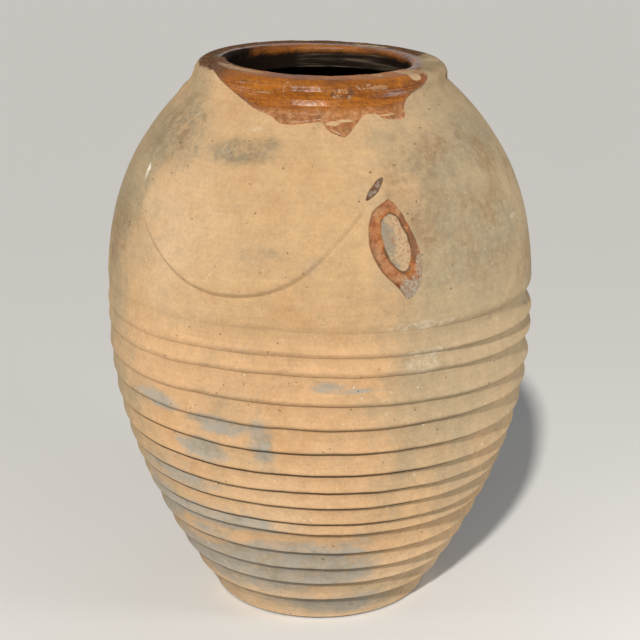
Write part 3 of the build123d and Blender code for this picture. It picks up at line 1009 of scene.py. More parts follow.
def lip_finish(colours):
    """The lip: bare clay outside, dull worn glaze over the top, glossy edge and dark wall inside, with
    painted shadow over the left of the inside.
    """
    finish = Finish("rim_clay_and_glaze")
    graph = finish.graph
    clay, middle, relief = clay_layers(finish, colours)
    clay, _ = speckled(finish, colours, clay)
    glaze, pool, _ = glaze_layers(finish, colours)
    edge = finish.radius + finish.ragged(60.0, 0.012, 51.0)
    top = graph.blend(graph.ramp(edge, 0.142, 0.134) * 0.9, worn_top(finish, colours), glaze)
    streak = graph.ramp(finish.noise(1.0, 5.0, 0.7, 61.0, across=7.0, up=150.0), 0.46, 0.72)
    # Inside wall: dark, with dust streaks only right of the middle; the left is painted shadow.
    dust_right_of_painted_shadow = streak * graph.ramp(finish.across, -0.040, -0.022)
    wall = graph.blend(dust_right_of_painted_shadow, colours.inside_dark_and_shadow, colours.dust)
    low = finish.height + finish.ragged(40.0, 0.014, 56.0)
    deep = graph.ramp(finish.radius, 0.1350, 0.1330) * graph.ramp(low, 0.788, 0.780)
    top = graph.blend(deep, top, wall)
    # Painted shadow on the mouth's left inner edge.
    shade = finish.ovals(SHADED_EDGE, finish.ragged(40.0, 0.8, 58.0), finish.radius)
    top = graph.blend(shade, top, colours.inside_dark_and_shadow)
    right = finish.ovals(BARE_TOP, finish.ragged(30.0, 1.2, 52.0), finish.radius)
    bare = graph.most(graph.ramp(edge, 0.168, 0.172), right * graph.ramp(finish.radius, 0.137, 0.143))
    worn = worn_mask(finish) * graph.ramp(finish.radius, 0.1345, 0.138) * 0.85
    colour = graph.blend(graph.most(bare, worn), top, clay)
    colour = graph.blend(worn * 0.8, colour, colours.clay_pale)
    # A dark spot on the rim's side: painted shade of a small notch.
    chip = finish.ovals(RIM_NOTCH_SHADE, finish.ragged(80.0, 1.2, 55.0))
    colour = graph.blend(chip, colour, colours.dirt_and_shade)
    gloss = graph.ramp(edge, 0.150, 0.138) * (1.0 - graph.most(deep, shade))
    roughness = 0.85 - gloss * 0.57
    relief = relief * 0.8 + middle * 2.0 + pool * 0.5
    specular = 0.03 + gloss * 0.25
    return finish.close(colour, relief, roughness, strength=0.8, distance=0.002, specular=specular)


def worn_top(finish, colours):
    """Colour of the dull, pitted glaze on top of the rim."""
    graph = finish.graph
    grey = graph.ramp(finish.noise(28.0, 7.0, 0.75, 53.0), 0.50, 0.72)
    colour = graph.blend(grey * 0.45, colours.rim_dull, colours.stain)
    pitted = graph.ramp(finish.noise(95.0, 6.0, 0.8, 54.0), 0.46, 0.58)
    colour = graph.blend(pitted * 0.75, colour, colours.dirt_and_shade)
    flecks = graph.ramp(finish.noise(170.0, 3.0, 0.7, 57.0), 0.60, 0.68)
    return graph.blend(flecks * 0.8, colour, colours.mortar_cream)


def inner_finish(colours):
    """Dark, streaked inside of the jar, with painted shadow over its left side."""
    finish = Finish("dark_inside")
    graph = finish.graph
    streak = finish.noise(1.0, 6.0, 0.72, 61.0, across=6.0, up=85.0)
    patch = finish.noise(12.0, 6.0, 0.68, 62.0)
    # No dust streaks on the left: painted shadow there.
    share = (graph.ramp(streak, 0.44, 0.66) * graph.ramp(patch, 0.36, 0.62)
             * graph.ramp(finish.across, -0.040, -0.022))
    colour = graph.blend(share, colours.inside_dark_and_shadow, colours.dust)
    return finish.close(colour, streak, roughness=0.88, strength=0.6, distance=0.003, specular=0.03)


def scar_glaze_finish(colours):
    """Dry russet glaze with grey crust at the foot of the scar, thinning out to the clay at its edge."""
    finish = Finish("scar_glaze")
    graph = finish.graph
    mottle = finish.noise(85.0, 7.0, 0.74, 71.0)
    thick = finish.noise(30.0, 5.0, 0.66, 72.0)
    sand = finish.noise(260.0, 4.0, 0.75, 73.0)
    rim = finish.attribute("edge") + (mottle - 0.5) * 0.5
    colour = graph.blend(graph.ramp(thick, 0.46, 0.66) * 0.6, colours.glaze_russet, colours.umber)
    inner = graph.ramp(rim, 0.42, 0.20) * graph.ramp(mottle, 0.36, 0.58)
    colour = graph.blend(inner * 0.5, colour, colours.glaze_amber)
    colour = graph.laid(colour, colours.clay_blush, mottle, 0.54, 0.40, 0.55)
    shaded = finish.ovals(SCAR_SHADE, finish.ragged(90.0, 1.2, 74.0))
    colour = graph.blend(shaded, colour, colours.rim_dull)
    colour = graph.laid(colour, colours.glaze_brown, mottle, 0.50, 0.66, 0.65)
    colour = graph.laid(colour, colours.clay_pale, sand, 0.60, 0.72, 0.6)
    dark_line = graph.ramp(rim, 0.74, 0.90) * graph.ramp(thick, 0.40, 0.56)
    colour = graph.blend(dark_line * 0.3, colour, colours.dirt_and_shade)
    # Darker by the fill and in the opened joint: dirt and painted shade in the crevice.
    crevice_grime_and_shade = graph.ramp(rim, 0.20, 0.06) * graph.ramp(thick, 0.40, 0.52)
    colour = graph.blend(crevice_grime_and_shade * 0.75, colour, colours.dirt_and_shade)
    colour = graph.blend(finish.attribute("broken") * 0.9, colour, colours.dirt_and_shade)
    ragged = (mottle - 0.5) * 2.6
    crust = finish.ovals(SCAR_CRUST, ragged)
    grey = graph.blend(graph.ramp(sand, 0.40, 0.62), colours.umber, colours.stain)
    grey = graph.laid(grey, colours.grit, sand, 0.62, 0.70, 0.6)
    colour = graph.blend(crust * 0.9, colour, grey)
    colour = graph.blend(graph.ramp(rim, 1.04, 1.16), colour, colours.clay_tan)
    roughness = 0.42 + crust * 0.4 + mottle * 0.2
    relief = mottle * 1.4 + sand * 0.5
    return finish.close(colour, relief, roughness, strength=0.9, distance=0.002, specular=0.2)


def mortar_finish(colours):
    """Mortar of the fill: grey on the left, worn to cream on the right, with specks of glaze."""
    finish = Finish("lime_mortar")
    graph = finish.graph
    patch = finish.noise(45.0, 6.0, 0.7, 81.0)
    sand = finish.noise(260.0, 4.0, 0.75, 82.0)
    middle, per_degree = 19.3, 0.05
    right = (finish.azimuth - middle) * per_degree
    worn = graph.ramp(patch + right, 0.41, 0.56)
    colour = graph.blend(worn, colours.mortar_grey, colours.mortar_cream)
    colour = graph.laid(colour, colours.umber, sand, 0.48, 0.62, 0.65)
    specks = graph.ramp(finish.noise(75.0, 4.0, 0.65, 83.0), 0.58, 0.68)
    colour = graph.blend(specks * 0.7, colour, colours.glaze_russet)
    # The opened joint along the fill's edge is darkened: dirt and painted shade.
    colour = graph.blend(finish.attribute("broken") * 0.95, colour, colours.dirt_and_shade)
    relief = sand * 0.8 + patch
    return finish.close(colour, relief, roughness=0.93, strength=1.0, distance=0.002, specular=0.1)


def chip_finish(colours):
    """Broken face of the cordon: a dark edge round a brown-grey core, bleached on the left chip, with a
    painted highlight along its left edge.
    """
    finish = Finish("chipped_cordon")
    graph = finish.graph
    rough = finish.noise(130.0, 5.0, 0.75, 91.0)
    rim = graph.ramp(finish.attribute("edge") + rough * 0.7, 0.98, 1.22)
    core = graph.blend(graph.ramp(rough, 0.44, 0.72), colours.rim_dull, colours.stain)
    colour = graph.blend(rim * 0.6, core, colours.dirt_and_shade)
    lines = graph.ramp(finish.noise(240.0, 4.0, 0.7, 92.0), 0.50, 0.62)
    colour = graph.blend(lines * 0.6, colour, colours.rim_dull)
    # Painted highlight: a pale line along the left chip's left edge.
    white = graph.ramp(finish.azimuth + rough * 2.0, -59.4, -60.6)
    bleached = graph.laid(colours.olive, colours.bloom, rough, 0.42, 0.60)
    bleached = graph.blend(white, bleached, colours.grit)
    colour = graph.blend(graph.ramp(finish.azimuth, -30.0, -40.0), colour, bleached)
    return finish.close(colour, rough, roughness=0.75, strength=0.8, distance=0.0018, specular=0.2)


FINISHES = {"weathered_clay": clay_finish, "run_glaze": run_glaze_finish, "rim_clay_and_glaze": lip_finish,
            "dark_inside": inner_finish, "scar_glaze": scar_glaze_finish, "lime_mortar": mortar_finish,
            "chipped_cordon": chip_finish}


def finish_named(name, context):
    return bpy.data.materials.get(name) or FINISHES[name](context.scene.jar_colours)


def clay_and_inside(context):
    return finish_named("weathered_clay", context), finish_named("dark_inside", context)


# Shapes that lie on the jar

def smooth_run(points, steps, closed=False):
    """Points of a smooth curve through the given points, of any number of coordinates."""
    count = len(points)
    result = []
    for span in range(count if closed else count - 1):
        picks = [span + k if not closed else (span + k) % count for k in (-1, 0, 1, 2)]
        near = [points[min(max(pick, 0), count - 1)] for pick in picks]
        for step in range(steps):
            t = step / steps
            result.append(tuple(0.5 * (2 * b + (c - a) * t + (2 * a - 5 * b + 4 * c - d) * t * t
                                       + (3 * b - a - 3 * c + d) * t ** 3) for a, b, c, d in zip(*near)))
    if not closed:
        result.append(tuple(points[-1]))
    return result


def on_body(sizes, azimuth, z, outward=0.0):
    """A point on the body, by its angle from the front in degrees and its height."""
    radius, height = wall_point(sizes, z, outward)
    return radius * sin(radians(azimuth)), -radius * cos(radians(azimuth)), height


def rough_at(azimuth, z, scale):
    """Smooth noise on the surface, between about -1 and 1."""
    mean_radius, smoothness, gap, octaves = 0.28, 0.7, 2.0, 4
    place = Vector((radians(azimuth) * mean_radius * scale, z * scale, 0.5))
    return noise.fractal(place, smoothness, gap, octaves)


def soft_step(share):
    return share * share * (3 - 2 * share)


def past(share, start):
    """0 up to a start, then rising evenly to 1."""
    return max(0.0, share - start) / (1 - start)


def bridged(rings, count, closed=False):
    """Quads between rings of the same number of vertices, and from the last to the first if closed."""
    faces = []
    for level in range(rings if closed else rings - 1):
        low, high = level * count, (level + 1) % rings * count
        for step in range(count):
            after = (step + 1) % count
            faces.append((low + step, low + after, high + after, high + step))
    return faces


def disc_patch(sizes, ring, height_at, depth, levels):
    """A closed patch inside a ring of places, raised by a rule, with a flat back inside the wall."""
    middle = tuple(sum(values) / len(ring) for values in zip(*ring))
    shares = [1.0] + [1 - level / levels for level in range(levels)]
    vertices, edge = [], []
    for level, share in enumerate(shares):
        for step, place in enumerate(ring):
            here = tuple(m + (a - m) * share for a, m in zip(place, middle))
            rise = -depth if level == 0 else height_at(step / len(ring), share, here)
            vertices.append(on_body(sizes, *here, rise))
            edge.append(share)
    count = len(ring)
    faces = bridged(len(shares), count)
    top = len(vertices)
    vertices.append(on_body(sizes, *middle, height_at(0, 0, middle)))
    vertices.append(on_body(sizes, *middle, -depth))
    edge += [0.0, 0.0]
    for step in range(count):
        after = (step + 1) % count
        faces.append((top - count + step, top - count + after, top))
        faces.append((after, step, top + 1))
    return vertices, faces, edge


# Operators

class JAR_OT_build_wall(bpy.types.Operator):
    """Turns the floor, the foot and every lapped course of the wall"""

    bl_idname = "jar.build_wall"
    bl_label = "Lapped wall"

    def execute(self, context):
        sizes = context.scene.jar_sizes
        clay, inside = clay_and_inside(context)
        joints = [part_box(name)[0][2] for name in WALL_COURSES] + [BANDED_HEIGHT]
        turned("base_floor", floor_section(sizes), sizes, clay, inside)
        turned("foot_course", foot_section(sizes, joints[0]), sizes, clay, inside)
        for number, name in enumerate(WALL_COURSES):
            section = course_section(sizes, joints[number], joints[number + 1], COURSE_STAINS[number])
            turned(name, section, sizes, clay, inside)
        return {"FINISHED"}


class JAR_OT_build_shoulder(bpy.types.Operator):
    """Turns the courses of the smooth shoulder"""

    bl_idname = "jar.build_shoulder"
    bl_label = "Smooth shoulder"

    def execute(self, context):
        sizes = context.scene.jar_sizes
        clay, inside = clay_and_inside(context)
        levels = [BANDED_HEIGHT] + [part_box(name)[1][2] for name in SHOULDER_COURSES]
        last = len(SHOULDER_COURSES) - 1
        for number, name in enumerate(SHOULDER_COURSES):
            section = shoulder_section(sizes, levels[number], levels[number + 1], number == 0, number == last)
            turned(name, section, sizes, clay, inside)
        return {"FINISHED"}


class JAR_OT_build_rim(bpy.types.Operator):
    """Turns the neck collar and the thick lip"""

    bl_idname = "jar.build_rim"
    bl_label = "Neck and lip"

    def execute(self, context):
        sizes = context.scene.jar_sizes
        clay, inside = clay_and_inside(context)
        turned("neck_collar", neck_section(sizes), sizes, clay, inside)
        turned("rim_lip", lip_section(sizes), sizes, finish_named("rim_clay_and_glaze", context), inside)
        return {"FINISHED"}


class JAR_OT_build_cordon(bpy.types.Operator):
    """Lays the raised cordon on the shoulder in three lengths, with its two chips"""

    bl_idname = "jar.build_cordon"
    bl_label = "Raised cordon"

    lower_width = 0.0075
    upper_width = 0.0210
    raised = 0.0050
    set_in = 0.0002
    sunk = 0.0030
    taper = 0.15
    end_steps = 9
    end_height = 0.04
    unevenness = 0.12
    # How dark the cordon's lower edge is painted, and from where: dirt and painted shade under the cordon.
    dirt_and_shade = 0.55
    darkened_from = 0.40
    chip_points = 72
    chip_reach = 0.0185
    chip_half_width = 0.0047
    chip_bluntness = 0.35
    chip_waves = 5
    chip_waviness = 0.07
    chip_edge = 0.0004
    chip_height = 0.0013
    chip_roughness = 0.0007
    chip_sunk = 0.0020

    def execute(self, context):
        sizes = context.scene.jar_sizes
        run = smooth_run([(azimuth, shoulder_height(sizes, rise)) for azimuth, rise in CORDON_RUN], 40)
        spine = [Vector(on_body(sizes, *place)) for place in run]
        chips = [Vector(on_body(sizes, azimuth, shoulder_height(sizes, rise)))
                 for azimuth, rise in CORDON_CHIPS.values()]
        lengths = [[]]
        for step, point in enumerate(spine):
            if min((point - chip).length for chip in chips) > self.chip_reach:
                lengths[-1].append(step)
            elif lengths[-1]:
                lengths.append([])
        names = ("cordon_left_end", "cordon_swag", "cordon_right_end")
        if len(lengths) != len(names):
            raise RuntimeError(f"the cordon came out in {len(lengths)} lengths")
        for name, steps in zip(names, lengths):
            self.lay(name, steps, run, sizes, context)
        for side, (azimuth, rise) in CORDON_CHIPS.items():
            self.chip(side, azimuth, shoulder_height(sizes, rise), run, sizes, context)
        return {"FINISHED"}

    def direction(self, run, step, sizes):
        """The run's direction on the surface, as (across, up) of length 1."""
        ahead, behind = run[min(step + 1, len(run) - 1)], run[max(step - 1, 0)]
        across = radians(ahead[0] - behind[0]) * body_radius(sizes, run[step][1])
        return Vector((across, ahead[1] - behind[1])).normalized()

    def lay(self, name, steps, run, sizes, context):
        """One length: a steep lower edge and a long soft upper slope."""
        seen = [-1 + 0.2 * k for k in range(6)] + [0.1 * k for k in range(1, 11)]
        hidden = [0.6, -0.6]
        vertices, groove = [], []
        for number, step in enumerate(steps):
            azimuth, z = run[step]
            radius = body_radius(sizes, z)
            along = self.direction(run, step, sizes)
            share = step / (len(run) - 1)
            swell = min(1.0, share / self.taper, (1 - share) / self.taper)
            near_end = min(1.0, min(number, len(steps) - 1 - number) / self.end_steps)
            swell *= self.end_height + (1 - self.end_height) * soft_step(near_end)
            swell *= 1 + self.unevenness * rough_at(azimuth, z, 30.0)
            for index, offset in enumerate(seen + hidden):
                shift = offset * (self.upper_width if offset > 0 else self.lower_width)
                hump = (1 - offset ** 2) ** 2 if offset > 0 else soft_step(1 + offset)
                lift = self.raised * swell * hump - self.set_in if index < len(seen) else -self.sunk
                vertices.append(on_body(sizes, azimuth - degrees(shift * along.y / radius),
                                        z + shift * along.x, lift))
                # The lower edge is marked for darkening: dirt and painted shade under the cordon.
                groove.append(self.dirt_and_shade * past(-offset, self.darkened_from))
        count = len(seen) + len(hidden)
        faces = bridged(len(steps), count)
        faces.append(tuple(range(count)))
        faces.append(tuple(reversed(range(len(vertices) - count, len(vertices)))))
        clay = finish_named("weathered_clay", context)
        fitted(name, vertices, faces, sizes, clay, {"groove": groove})

    def chip(self, side, azimuth, z, run, sizes, context):
        """A lens of bare broken clay along the cordon."""
        degrees_a_metre = 200

        def far(step):
            return hypot(run[step][0] - azimuth, (run[step][1] - z) * degrees_a_metre)

        along = self.direction(run, min(range(len(run)), key=far), sizes)
        radius = body_radius(sizes, z)
        ring = []
        for step in range(self.chip_points):
            turn = tau * step / self.chip_points
            u = self.chip_reach * cos(turn)
            v = self.chip_half_width * abs(sin(turn)) ** self.chip_bluntness * sin(turn)
            v *= 1 + self.chip_waviness * sin(self.chip_waves * turn + azimuth)
            across, up = u * along.x - v * along.y, u * along.y + v * along.x
            ring.append((azimuth + degrees(across / radius), z + up))

        def height_at(share_round, share_out, place):
            worn = self.chip_roughness * rough_at(*place, 160.0)
            return self.chip_edge + (self.chip_height + worn) * (1 - share_out ** 5)

        vertices, faces, edge = disc_patch(sizes, ring, height_at, self.chip_sunk, levels=10)
        finish = finish_named("chipped_cordon", context)
        fitted("cordon_chip_" + side, vertices, faces, sizes, finish, {"edge": edge})


class JAR_OT_build_glaze(bpy.types.Operator):
    """Pours the glaze run over the front of the rim, and lines the mouth"""

    bl_idname = "jar.build_glaze"
    bl_label = "Glaze run"

    thickness = 0.0017
    side_share = 0.4
    side_columns = 18
    upper_share = 0.3
    upper_fade = 0.0040
    lower_fade = 0.0060
    bead = 0.0005
    bead_middle = 0.0030
    bead_width = 0.0022
    ridge = 0.0010
    ridge_width = 0.0042
    unevenness = 0.00025
    edge_raggedness = 0.0007
    edge_reach = 0.012
    sunk = 0.0020
    columns = 420
    rows = 96

    def execute(self, context):
        sizes = context.scene.jar_sizes
        self.trace(sizes)
        self.pour(sizes, context)
        self.line_mouth(sizes, context)
        return {"FINISHED"}

    def line_mouth(self, sizes, context):
        """A thin ring of glaze on the neck's inside."""
        skin = 0.0015
        low, high = neck_inside(sizes), lip_inside(sizes)
        section = Section()
        section.run(straight(low, high, 10))
        section.run([high])
        section.run(straight((high[0], high[1] - skin), (low[0] - skin, low[1]), 10))
        section.run([(low[0] - skin, low[1])])
        inside = finish_named("dark_inside", context)
        turned("mouth_glaze", section, sizes, inside, inside)

    def trace(self, sizes):
        """The outside from the mouth's edge over the rim and down the shoulder, with its lengths."""
        reach, steps, left_out = 0.034, 30, 6
        points = [wall_point(sizes, sizes.neck_foot - reach * (1 - step / steps), 0) for step in range(steps)]
        points += neck_outline(sizes) + rim_outline(sizes)[:-left_out]
        self.points = [Vector(point) for point in reversed(points)]
        self.lengths = [0.0]
        for before, after in zip(self.points, self.points[1:]):
            self.lengths.append(self.lengths[-1] + (after - before).length)

    def length_at(self, z):
        """Length along the outline where it comes down to a height."""
        least = 0.020
        for index in range(len(self.points) - 1, 0, -1):
            upper, lower = self.points[index - 1], self.points[index]
            if upper.y >= z > lower.y:
                share = (upper.y - z) / (upper.y - lower.y)
                before, after = self.lengths[index - 1:index + 1]
                return max(least, before + share * (after - before))
        return least

    def place(self, along):
        """Point and outward direction at a length along the outline."""
        index = min(max(bisect(self.lengths, along) - 1, 0), len(self.lengths) - 2)
        before, after = self.points[index], self.points[index + 1]
        share = (along - self.lengths[index]) / (self.lengths[index + 1] - self.lengths[index])
        direction = (after - before).normalized()
        return before.lerp(after, share), Vector((-direction.y, direction.x))

    def lift(self, azimuth, z, along, stop, side):
        """Thickness of the glaze, thin at its ends, with a bead along its lower edge and turning ridges."""
        left = stop - along
        margin = max(0.0, min(1.0, left / self.lower_fade, along / self.upper_fade + self.upper_share))
        ridges = sum(max(0.0, 1 - ((z - level) / self.ridge_width) ** 2) for level in GLAZE_RIDGES)
        uneven = self.unevenness * rough_at(azimuth, z, 55.0)
        body = self.thickness * (1 - (1 - margin) ** 3) * (self.side_share + (1 - self.side_share) * side)
        bead = self.bead * exp(-((left - self.bead_middle) / self.bead_width) ** 2)
        return body + (self.ridge * ridges + uneven) * margin + bead

    def pour(self, sizes, context):
        """The run, as a grid of columns round the jar and rows down it."""
        edge = smooth_run(GLAZE_EDGE, 24)
        first, last = edge[0][0], edge[-1][0]
        outer, inner, near_edge = [], [], []
        for column in range(self.columns + 1):
            azimuth = first + (last - first) * column / self.columns
            drop = next(a[1] + (b[1] - a[1]) * (azimuth - a[0]) / (b[0] - a[0])
                        for a, b in zip(edge, edge[1:]) if azimuth <= b[0] or b == edge[-1])
            drop += self.edge_raggedness * noise.noise(Vector((azimuth * 0.9, 3.0, 0.0)))
            stop = self.length_at(sizes.height - drop)
            side = min(1.0, column / self.side_columns, (self.columns - column) / self.side_columns)
            flat = Vector((sin(radians(azimuth)), -cos(radians(azimuth)), 0))
            for row in range(self.rows + 1):
                along = stop * row / self.rows
                point, out = self.place(along)
                raised = point + out * self.lift(azimuth, point.y, along, stop, side)
                sunken = point - out * self.sunk
                outer.append(flat * raised.x + Vector((0, 0, raised.y)))
                inner.append(flat * sunken.x + Vector((0, 0, sunken.y)))
                near_edge.append(max(0.0, 1 - (stop - along) / self.edge_reach))
        vertices, faces = self.shell(outer, inner)
        finish = finish_named("run_glaze", context)
        fitted("rim_glaze", vertices, faces, sizes, finish, {"edge": near_edge * 2})

    def shell(self, outer, inner):
        """Closes two grids of vertices into one shell."""
        faces, width, count = [], self.rows + 1, len(outer)
        for column in range(self.columns):
            for row in range(self.rows):
                corner = column * width + row
                quad = (corner, corner + 1, corner + width + 1, corner + width)
                faces.append(quad)
                faces.append(tuple(count + index for index in reversed(quad)))
        border = list(range(width))
        border += [column * width + self.rows for column in range(1, self.columns + 1)]
        border += [self.columns * width + row for row in range(self.rows - 1, -1, -1)]
        border += [column * width for column in range(self.columns - 1, 0, -1)]
        for here, there in zip(border, border[1:] + border[:1]):
            faces.append((here, count + here, count + there, there))
        return outer + inner, faces


class JAR_OT_build_scar(bpy.types.Operator):
    """Lays the kiln scar on the shoulder: an almond of glaze around a mortar fill"""

    bl_idname = "jar.build_scar"
    bl_label = "Kiln scar"

    around = 260
    sway_across = 0.32
    sway_up = 0.0018
    pointed_sway = 0.4
    openings = ((48, 34), (-128, 26))
    opening_depth = 0.0012
    glaze_height = 0.0018
    glaze_fall = 0.35
    glaze_roughness = 0.0005
    glaze_opens_from = 0.72
    fill_height = 0.0008
    fill_roughness = 0.0006
    fill_opens_from = 0.86
    # From where the opened joint is darkened with dirt and painted shade.
    darkened_from = 0.88
    least_height = 0.0002
    edge_share = 0.03
    edge_sunk = 0.0004
    sunk = 0.0020

    def execute(self, context):
        sizes = context.scene.jar_sizes
        almond = self.even(SCAR_OUTLINE, sizes, pointed=True)
        fill = self.even(FILL_OUTLINE, sizes, pointed=False)
        self.lay_glaze(almond, fill, sizes, context)
        self.lay_fill(fill, sizes, context)
        return {"FINISHED"}

    def even(self, outline, sizes, pointed):
        """An outline on the shoulder in equal steps of angle about the fill's middle, from straight down."""
        places = [(azimuth, shoulder_height(sizes, rise)) for azimuth, rise in outline]
        if pointed:
            places = smooth_run(places + places[:1], 60)[:-1]
        else:
            places = smooth_run(places, 60, closed=True)
        middle_azimuth = sum(azimuth for azimuth, _ in FILL_OUTLINE) / len(FILL_OUTLINE)
        middle_height = shoulder_height(sizes, sum(rise for _, rise in FILL_OUTLINE) / len(FILL_OUTLINE))
        degree = radians(1) * body_radius(sizes, middle_height)
        turns = sorted((atan2((a - middle_azimuth) * degree, z - middle_height), a, z) for a, z in places)
        turns = [(turns[-1][0] - tau, *turns[-1][1:])] + turns + [(turns[0][0] + tau, *turns[0][1:])]
        result = []
        for step in range(self.around):
            turn = -pi + tau * step / self.around
            before, after = next((b, a) for b, a in zip(turns, turns[1:]) if b[0] <= turn <= a[0])
            share = (turn - before[0]) / max(after[0] - before[0], 1e-9)
            azimuth, z = (b + (a - b) * share for b, a in zip(before[1:], after[1:]))
            uneven = self.pointed_sway if pointed else 1.0
            result.append((azimuth + self.sway_across * uneven * rough_at(azimuth, z, 75.0),
                           z + self.sway_up * uneven * rough_at(azimuth + 40, z, 75.0)))
        return result

    def broken(self, share_round):
        """How far the joint between fill and glaze is broken open: upper right and lower left."""
        turn = share_round * 360 - 180
        return max(exp(-((turn - middle) / width) ** 2) for middle, width in self.openings)

    def lay_glaze(self, almond, fill, sizes, context):
        """The glaze, in rings from the almond's edge in to the fill."""
        levels = 22
        vertices, broken, edge = [], [], []
        shares = [level / levels for level in range(levels + 1)]
        for level, share in enumerate(shares + [1.0, 0.0]):
            for step, (outer, inner) in enumerate(zip(almond, fill)):
                azimuth, z = (a + (b - a) * share for a, b in zip(outer, inner))
                crack = self.broken(step / self.around) * past(share, self.glaze_opens_from)
                swell = min(1.0, 0.15 + 4 * share) ** 0.7 * (1 - self.glaze_fall * share ** 4)
                rough = self.glaze_roughness * rough_at(azimuth, z, 95.0) * min(1.0, 3 * share)
                rise = max(self.glaze_height * swell + rough - self.opening_depth * crack, self.least_height)
                if level > levels:
                    rise = -self.sunk
                elif share <= self.edge_share:
                    rise = -self.edge_sunk
                vertices.append(on_body(sizes, azimuth, z, rise))
                broken.append(crack)
                edge.append(1 - share)
        faces = bridged(levels + 3, self.around, closed=True)
        finish = finish_named("scar_glaze", context)
        fitted("kiln_scar_glaze", vertices, faces, sizes, finish, {"broken": broken, "edge": edge})

    def lay_fill(self, fill, sizes, context):
        """The mortar inside the glaze."""
        def height_at(share_round, share_out, place):
            crack = self.broken(share_round) * past(share_out, self.fill_opens_from)
            rough = self.fill_roughness * rough_at(*place, 120.0)
            return max(self.least_height, self.fill_height + rough - self.opening_depth * crack)

        vertices, faces, edge = disc_patch(sizes, fill, height_at, self.sunk, levels=24)
        # Where the fill's edge is darkened: dirt and painted shade in the opened joint.
        cracked = [self.broken(index % self.around / self.around) * past(share, self.darkened_from)
                   for index, share in enumerate(edge)]
        finish = finish_named("lime_mortar", context)
        fitted("kiln_scar_fill", vertices, faces, sizes, finish, {"broken": cracked})


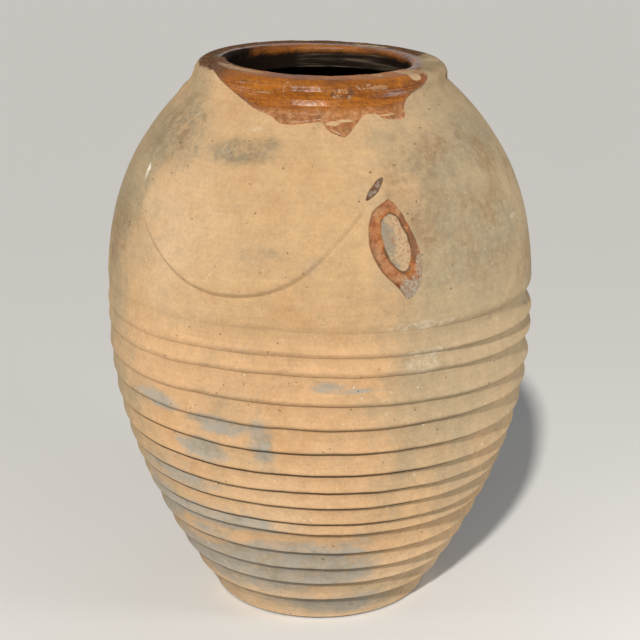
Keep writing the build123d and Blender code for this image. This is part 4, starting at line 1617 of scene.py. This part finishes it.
class JAR_OT_build_stage(bpy.types.Operator):
    """Sets the pale floor, the soft lamps and the camera"""

    bl_idname = "jar.build_stage"
    bl_label = "Floor, lamps and camera"

    floor_reach = 14.0
    floor_roughness = 0.9
    panel_size = 0.35
    panel_aim = Vector((0, 0, 0.4))
    right_place = Vector((1.25, -0.60, 0.62))
    left_place = Vector((-1.45, -0.55, 0.42))
    sensor_width = 36.0
    farthest = 100.0

    def execute(self, context):
        stage = context.scene.jar_stage
        context.scene.view_settings.view_transform = "Standard"
        self.floor(stage)
        self.key_lamp(stage)
        self.panel("right_panel", stage.right_power, self.right_place)
        self.panel("left_panel", stage.left_power, self.left_place)
        self.sky(stage, context)
        self.camera(stage, context)
        return {"FINISHED"}

    def looked_at(self, graph):
        """1 for rays that see, straight or by way of gloss or glass, and 0 for rays that light."""
        rays = graph.outputs("ShaderNodeLightPath")
        return graph.most(rays["Is Camera Ray"], rays["Is Glossy Ray"], rays["Is Transmission Ray"])

    def floor(self, stage):
        material = bpy.data.materials.new("pale_floor")
        material.use_nodes = True
        graph = Graph(material.node_tree)
        shader = material.node_tree.nodes["Principled BSDF"]
        colour = graph.blend(self.looked_at(graph), stage.floor_bounce, stage.floor_colour)
        graph.feed(shader.inputs["Base Color"], colour)
        shader.inputs["Roughness"].default_value = self.floor_roughness
        mesh = bpy.data.meshes.new("studio_floor")
        far = self.floor_reach
        mesh.from_pydata([(-far, -far, 0), (far, -far, 0), (far, far, 0), (-far, far, 0)], [], [(0, 1, 2, 3)])
        mesh.materials.append(material)
        floor = linked("studio_floor", mesh)

    def key_lamp(self, stage):
        """A lamp like the sun, in front and to the left."""
        sun = bpy.data.lights.new("key", "SUN")
        sun.energy = stage.key_strength
        sun.angle = stage.key_softness
        sun.color = stage.key_colour
        linked("key", sun).rotation_euler = (pi / 2 - stage.key_height, 0, stage.key_azimuth)

    def panel(self, name, power, place):
        """A soft square lamp that faces the belly."""
        light = bpy.data.lights.new(name, "AREA")
        light.energy = power
        light.size = self.panel_size
        lamp = linked(name, light)
        lamp.location = place
        lamp.rotation_euler = (self.panel_aim - place).to_track_quat("-Z", "Y").to_euler()

    def sky(self, stage, context):
        """Weak light from all round, in front of a bright backdrop."""
        world = context.scene.world or bpy.data.worlds.new("studio")
        context.scene.world = world
        world.use_nodes = True
        world.node_tree.nodes.clear()
        graph = Graph(world.node_tree)
        extra = self.looked_at(graph) * (stage.backdrop - stage.sky_strength)
        sky = graph.made("ShaderNodeBackground", None,
                         {"Color": stage.sky_colour, "Strength": extra + stage.sky_strength})
        graph.add("ShaderNodeOutputWorld", None, {0: sky})

    def camera(self, stage, context):
        lens = bpy.data.cameras.new("camera")
        lens.lens = stage.camera_lens
        lens.sensor_width = self.sensor_width
        lens.clip_end = self.farthest
        camera = linked("camera", lens)
        camera.location = (0, -stage.camera_distance, stage.camera_height)
        camera.rotation_euler = (pi / 2 - stage.camera_pitch, 0, 0)
        context.scene.camera = camera


# Panel and registration

OPERATORS = (JAR_OT_build_wall, JAR_OT_build_shoulder, JAR_OT_build_rim, JAR_OT_build_cordon,
             JAR_OT_build_glaze, JAR_OT_build_scar, JAR_OT_build_stage)


class JAR_PT_panel(bpy.types.Panel):
    """Lists the jar's pieces and its sizes and colours"""

    bl_idname = "JAR_PT_panel"
    bl_label = "Storage jar"
    bl_space_type = "VIEW_3D"
    bl_region_type = "UI"
    bl_category = "Jar"

    def draw(self, context):
        for operator in OPERATORS:
            self.layout.operator(operator.bl_idname)
        for settings in (context.scene.jar_sizes, context.scene.jar_colours, context.scene.jar_stage):
            box = self.layout.box()
            for name in settings.__annotations__:
                box.prop(settings, name)


CLASSES = (JarSizes, JarColours, JarStage, *OPERATORS, JAR_PT_panel)


def register():
    for item in CLASSES:
        bpy.utils.register_class(item)
    bpy.types.Scene.jar_sizes = PointerProperty(type=JarSizes)
    bpy.types.Scene.jar_colours = PointerProperty(type=JarColours)
    bpy.types.Scene.jar_stage = PointerProperty(type=JarStage)


def unregister():
    del bpy.types.Scene.jar_stage, bpy.types.Scene.jar_colours, bpy.types.Scene.jar_sizes
    for item in reversed(CLASSES):
        bpy.utils.unregister_class(item)


def main():
    register()
    bpy.ops.jar.build_wall()
    bpy.ops.jar.build_shoulder()
    bpy.ops.jar.build_rim()
    bpy.ops.jar.build_cordon()
    bpy.ops.jar.build_glaze()
    bpy.ops.jar.build_scar()
    bpy.ops.jar.build_stage()


if __name__ == "__main__":
    main()
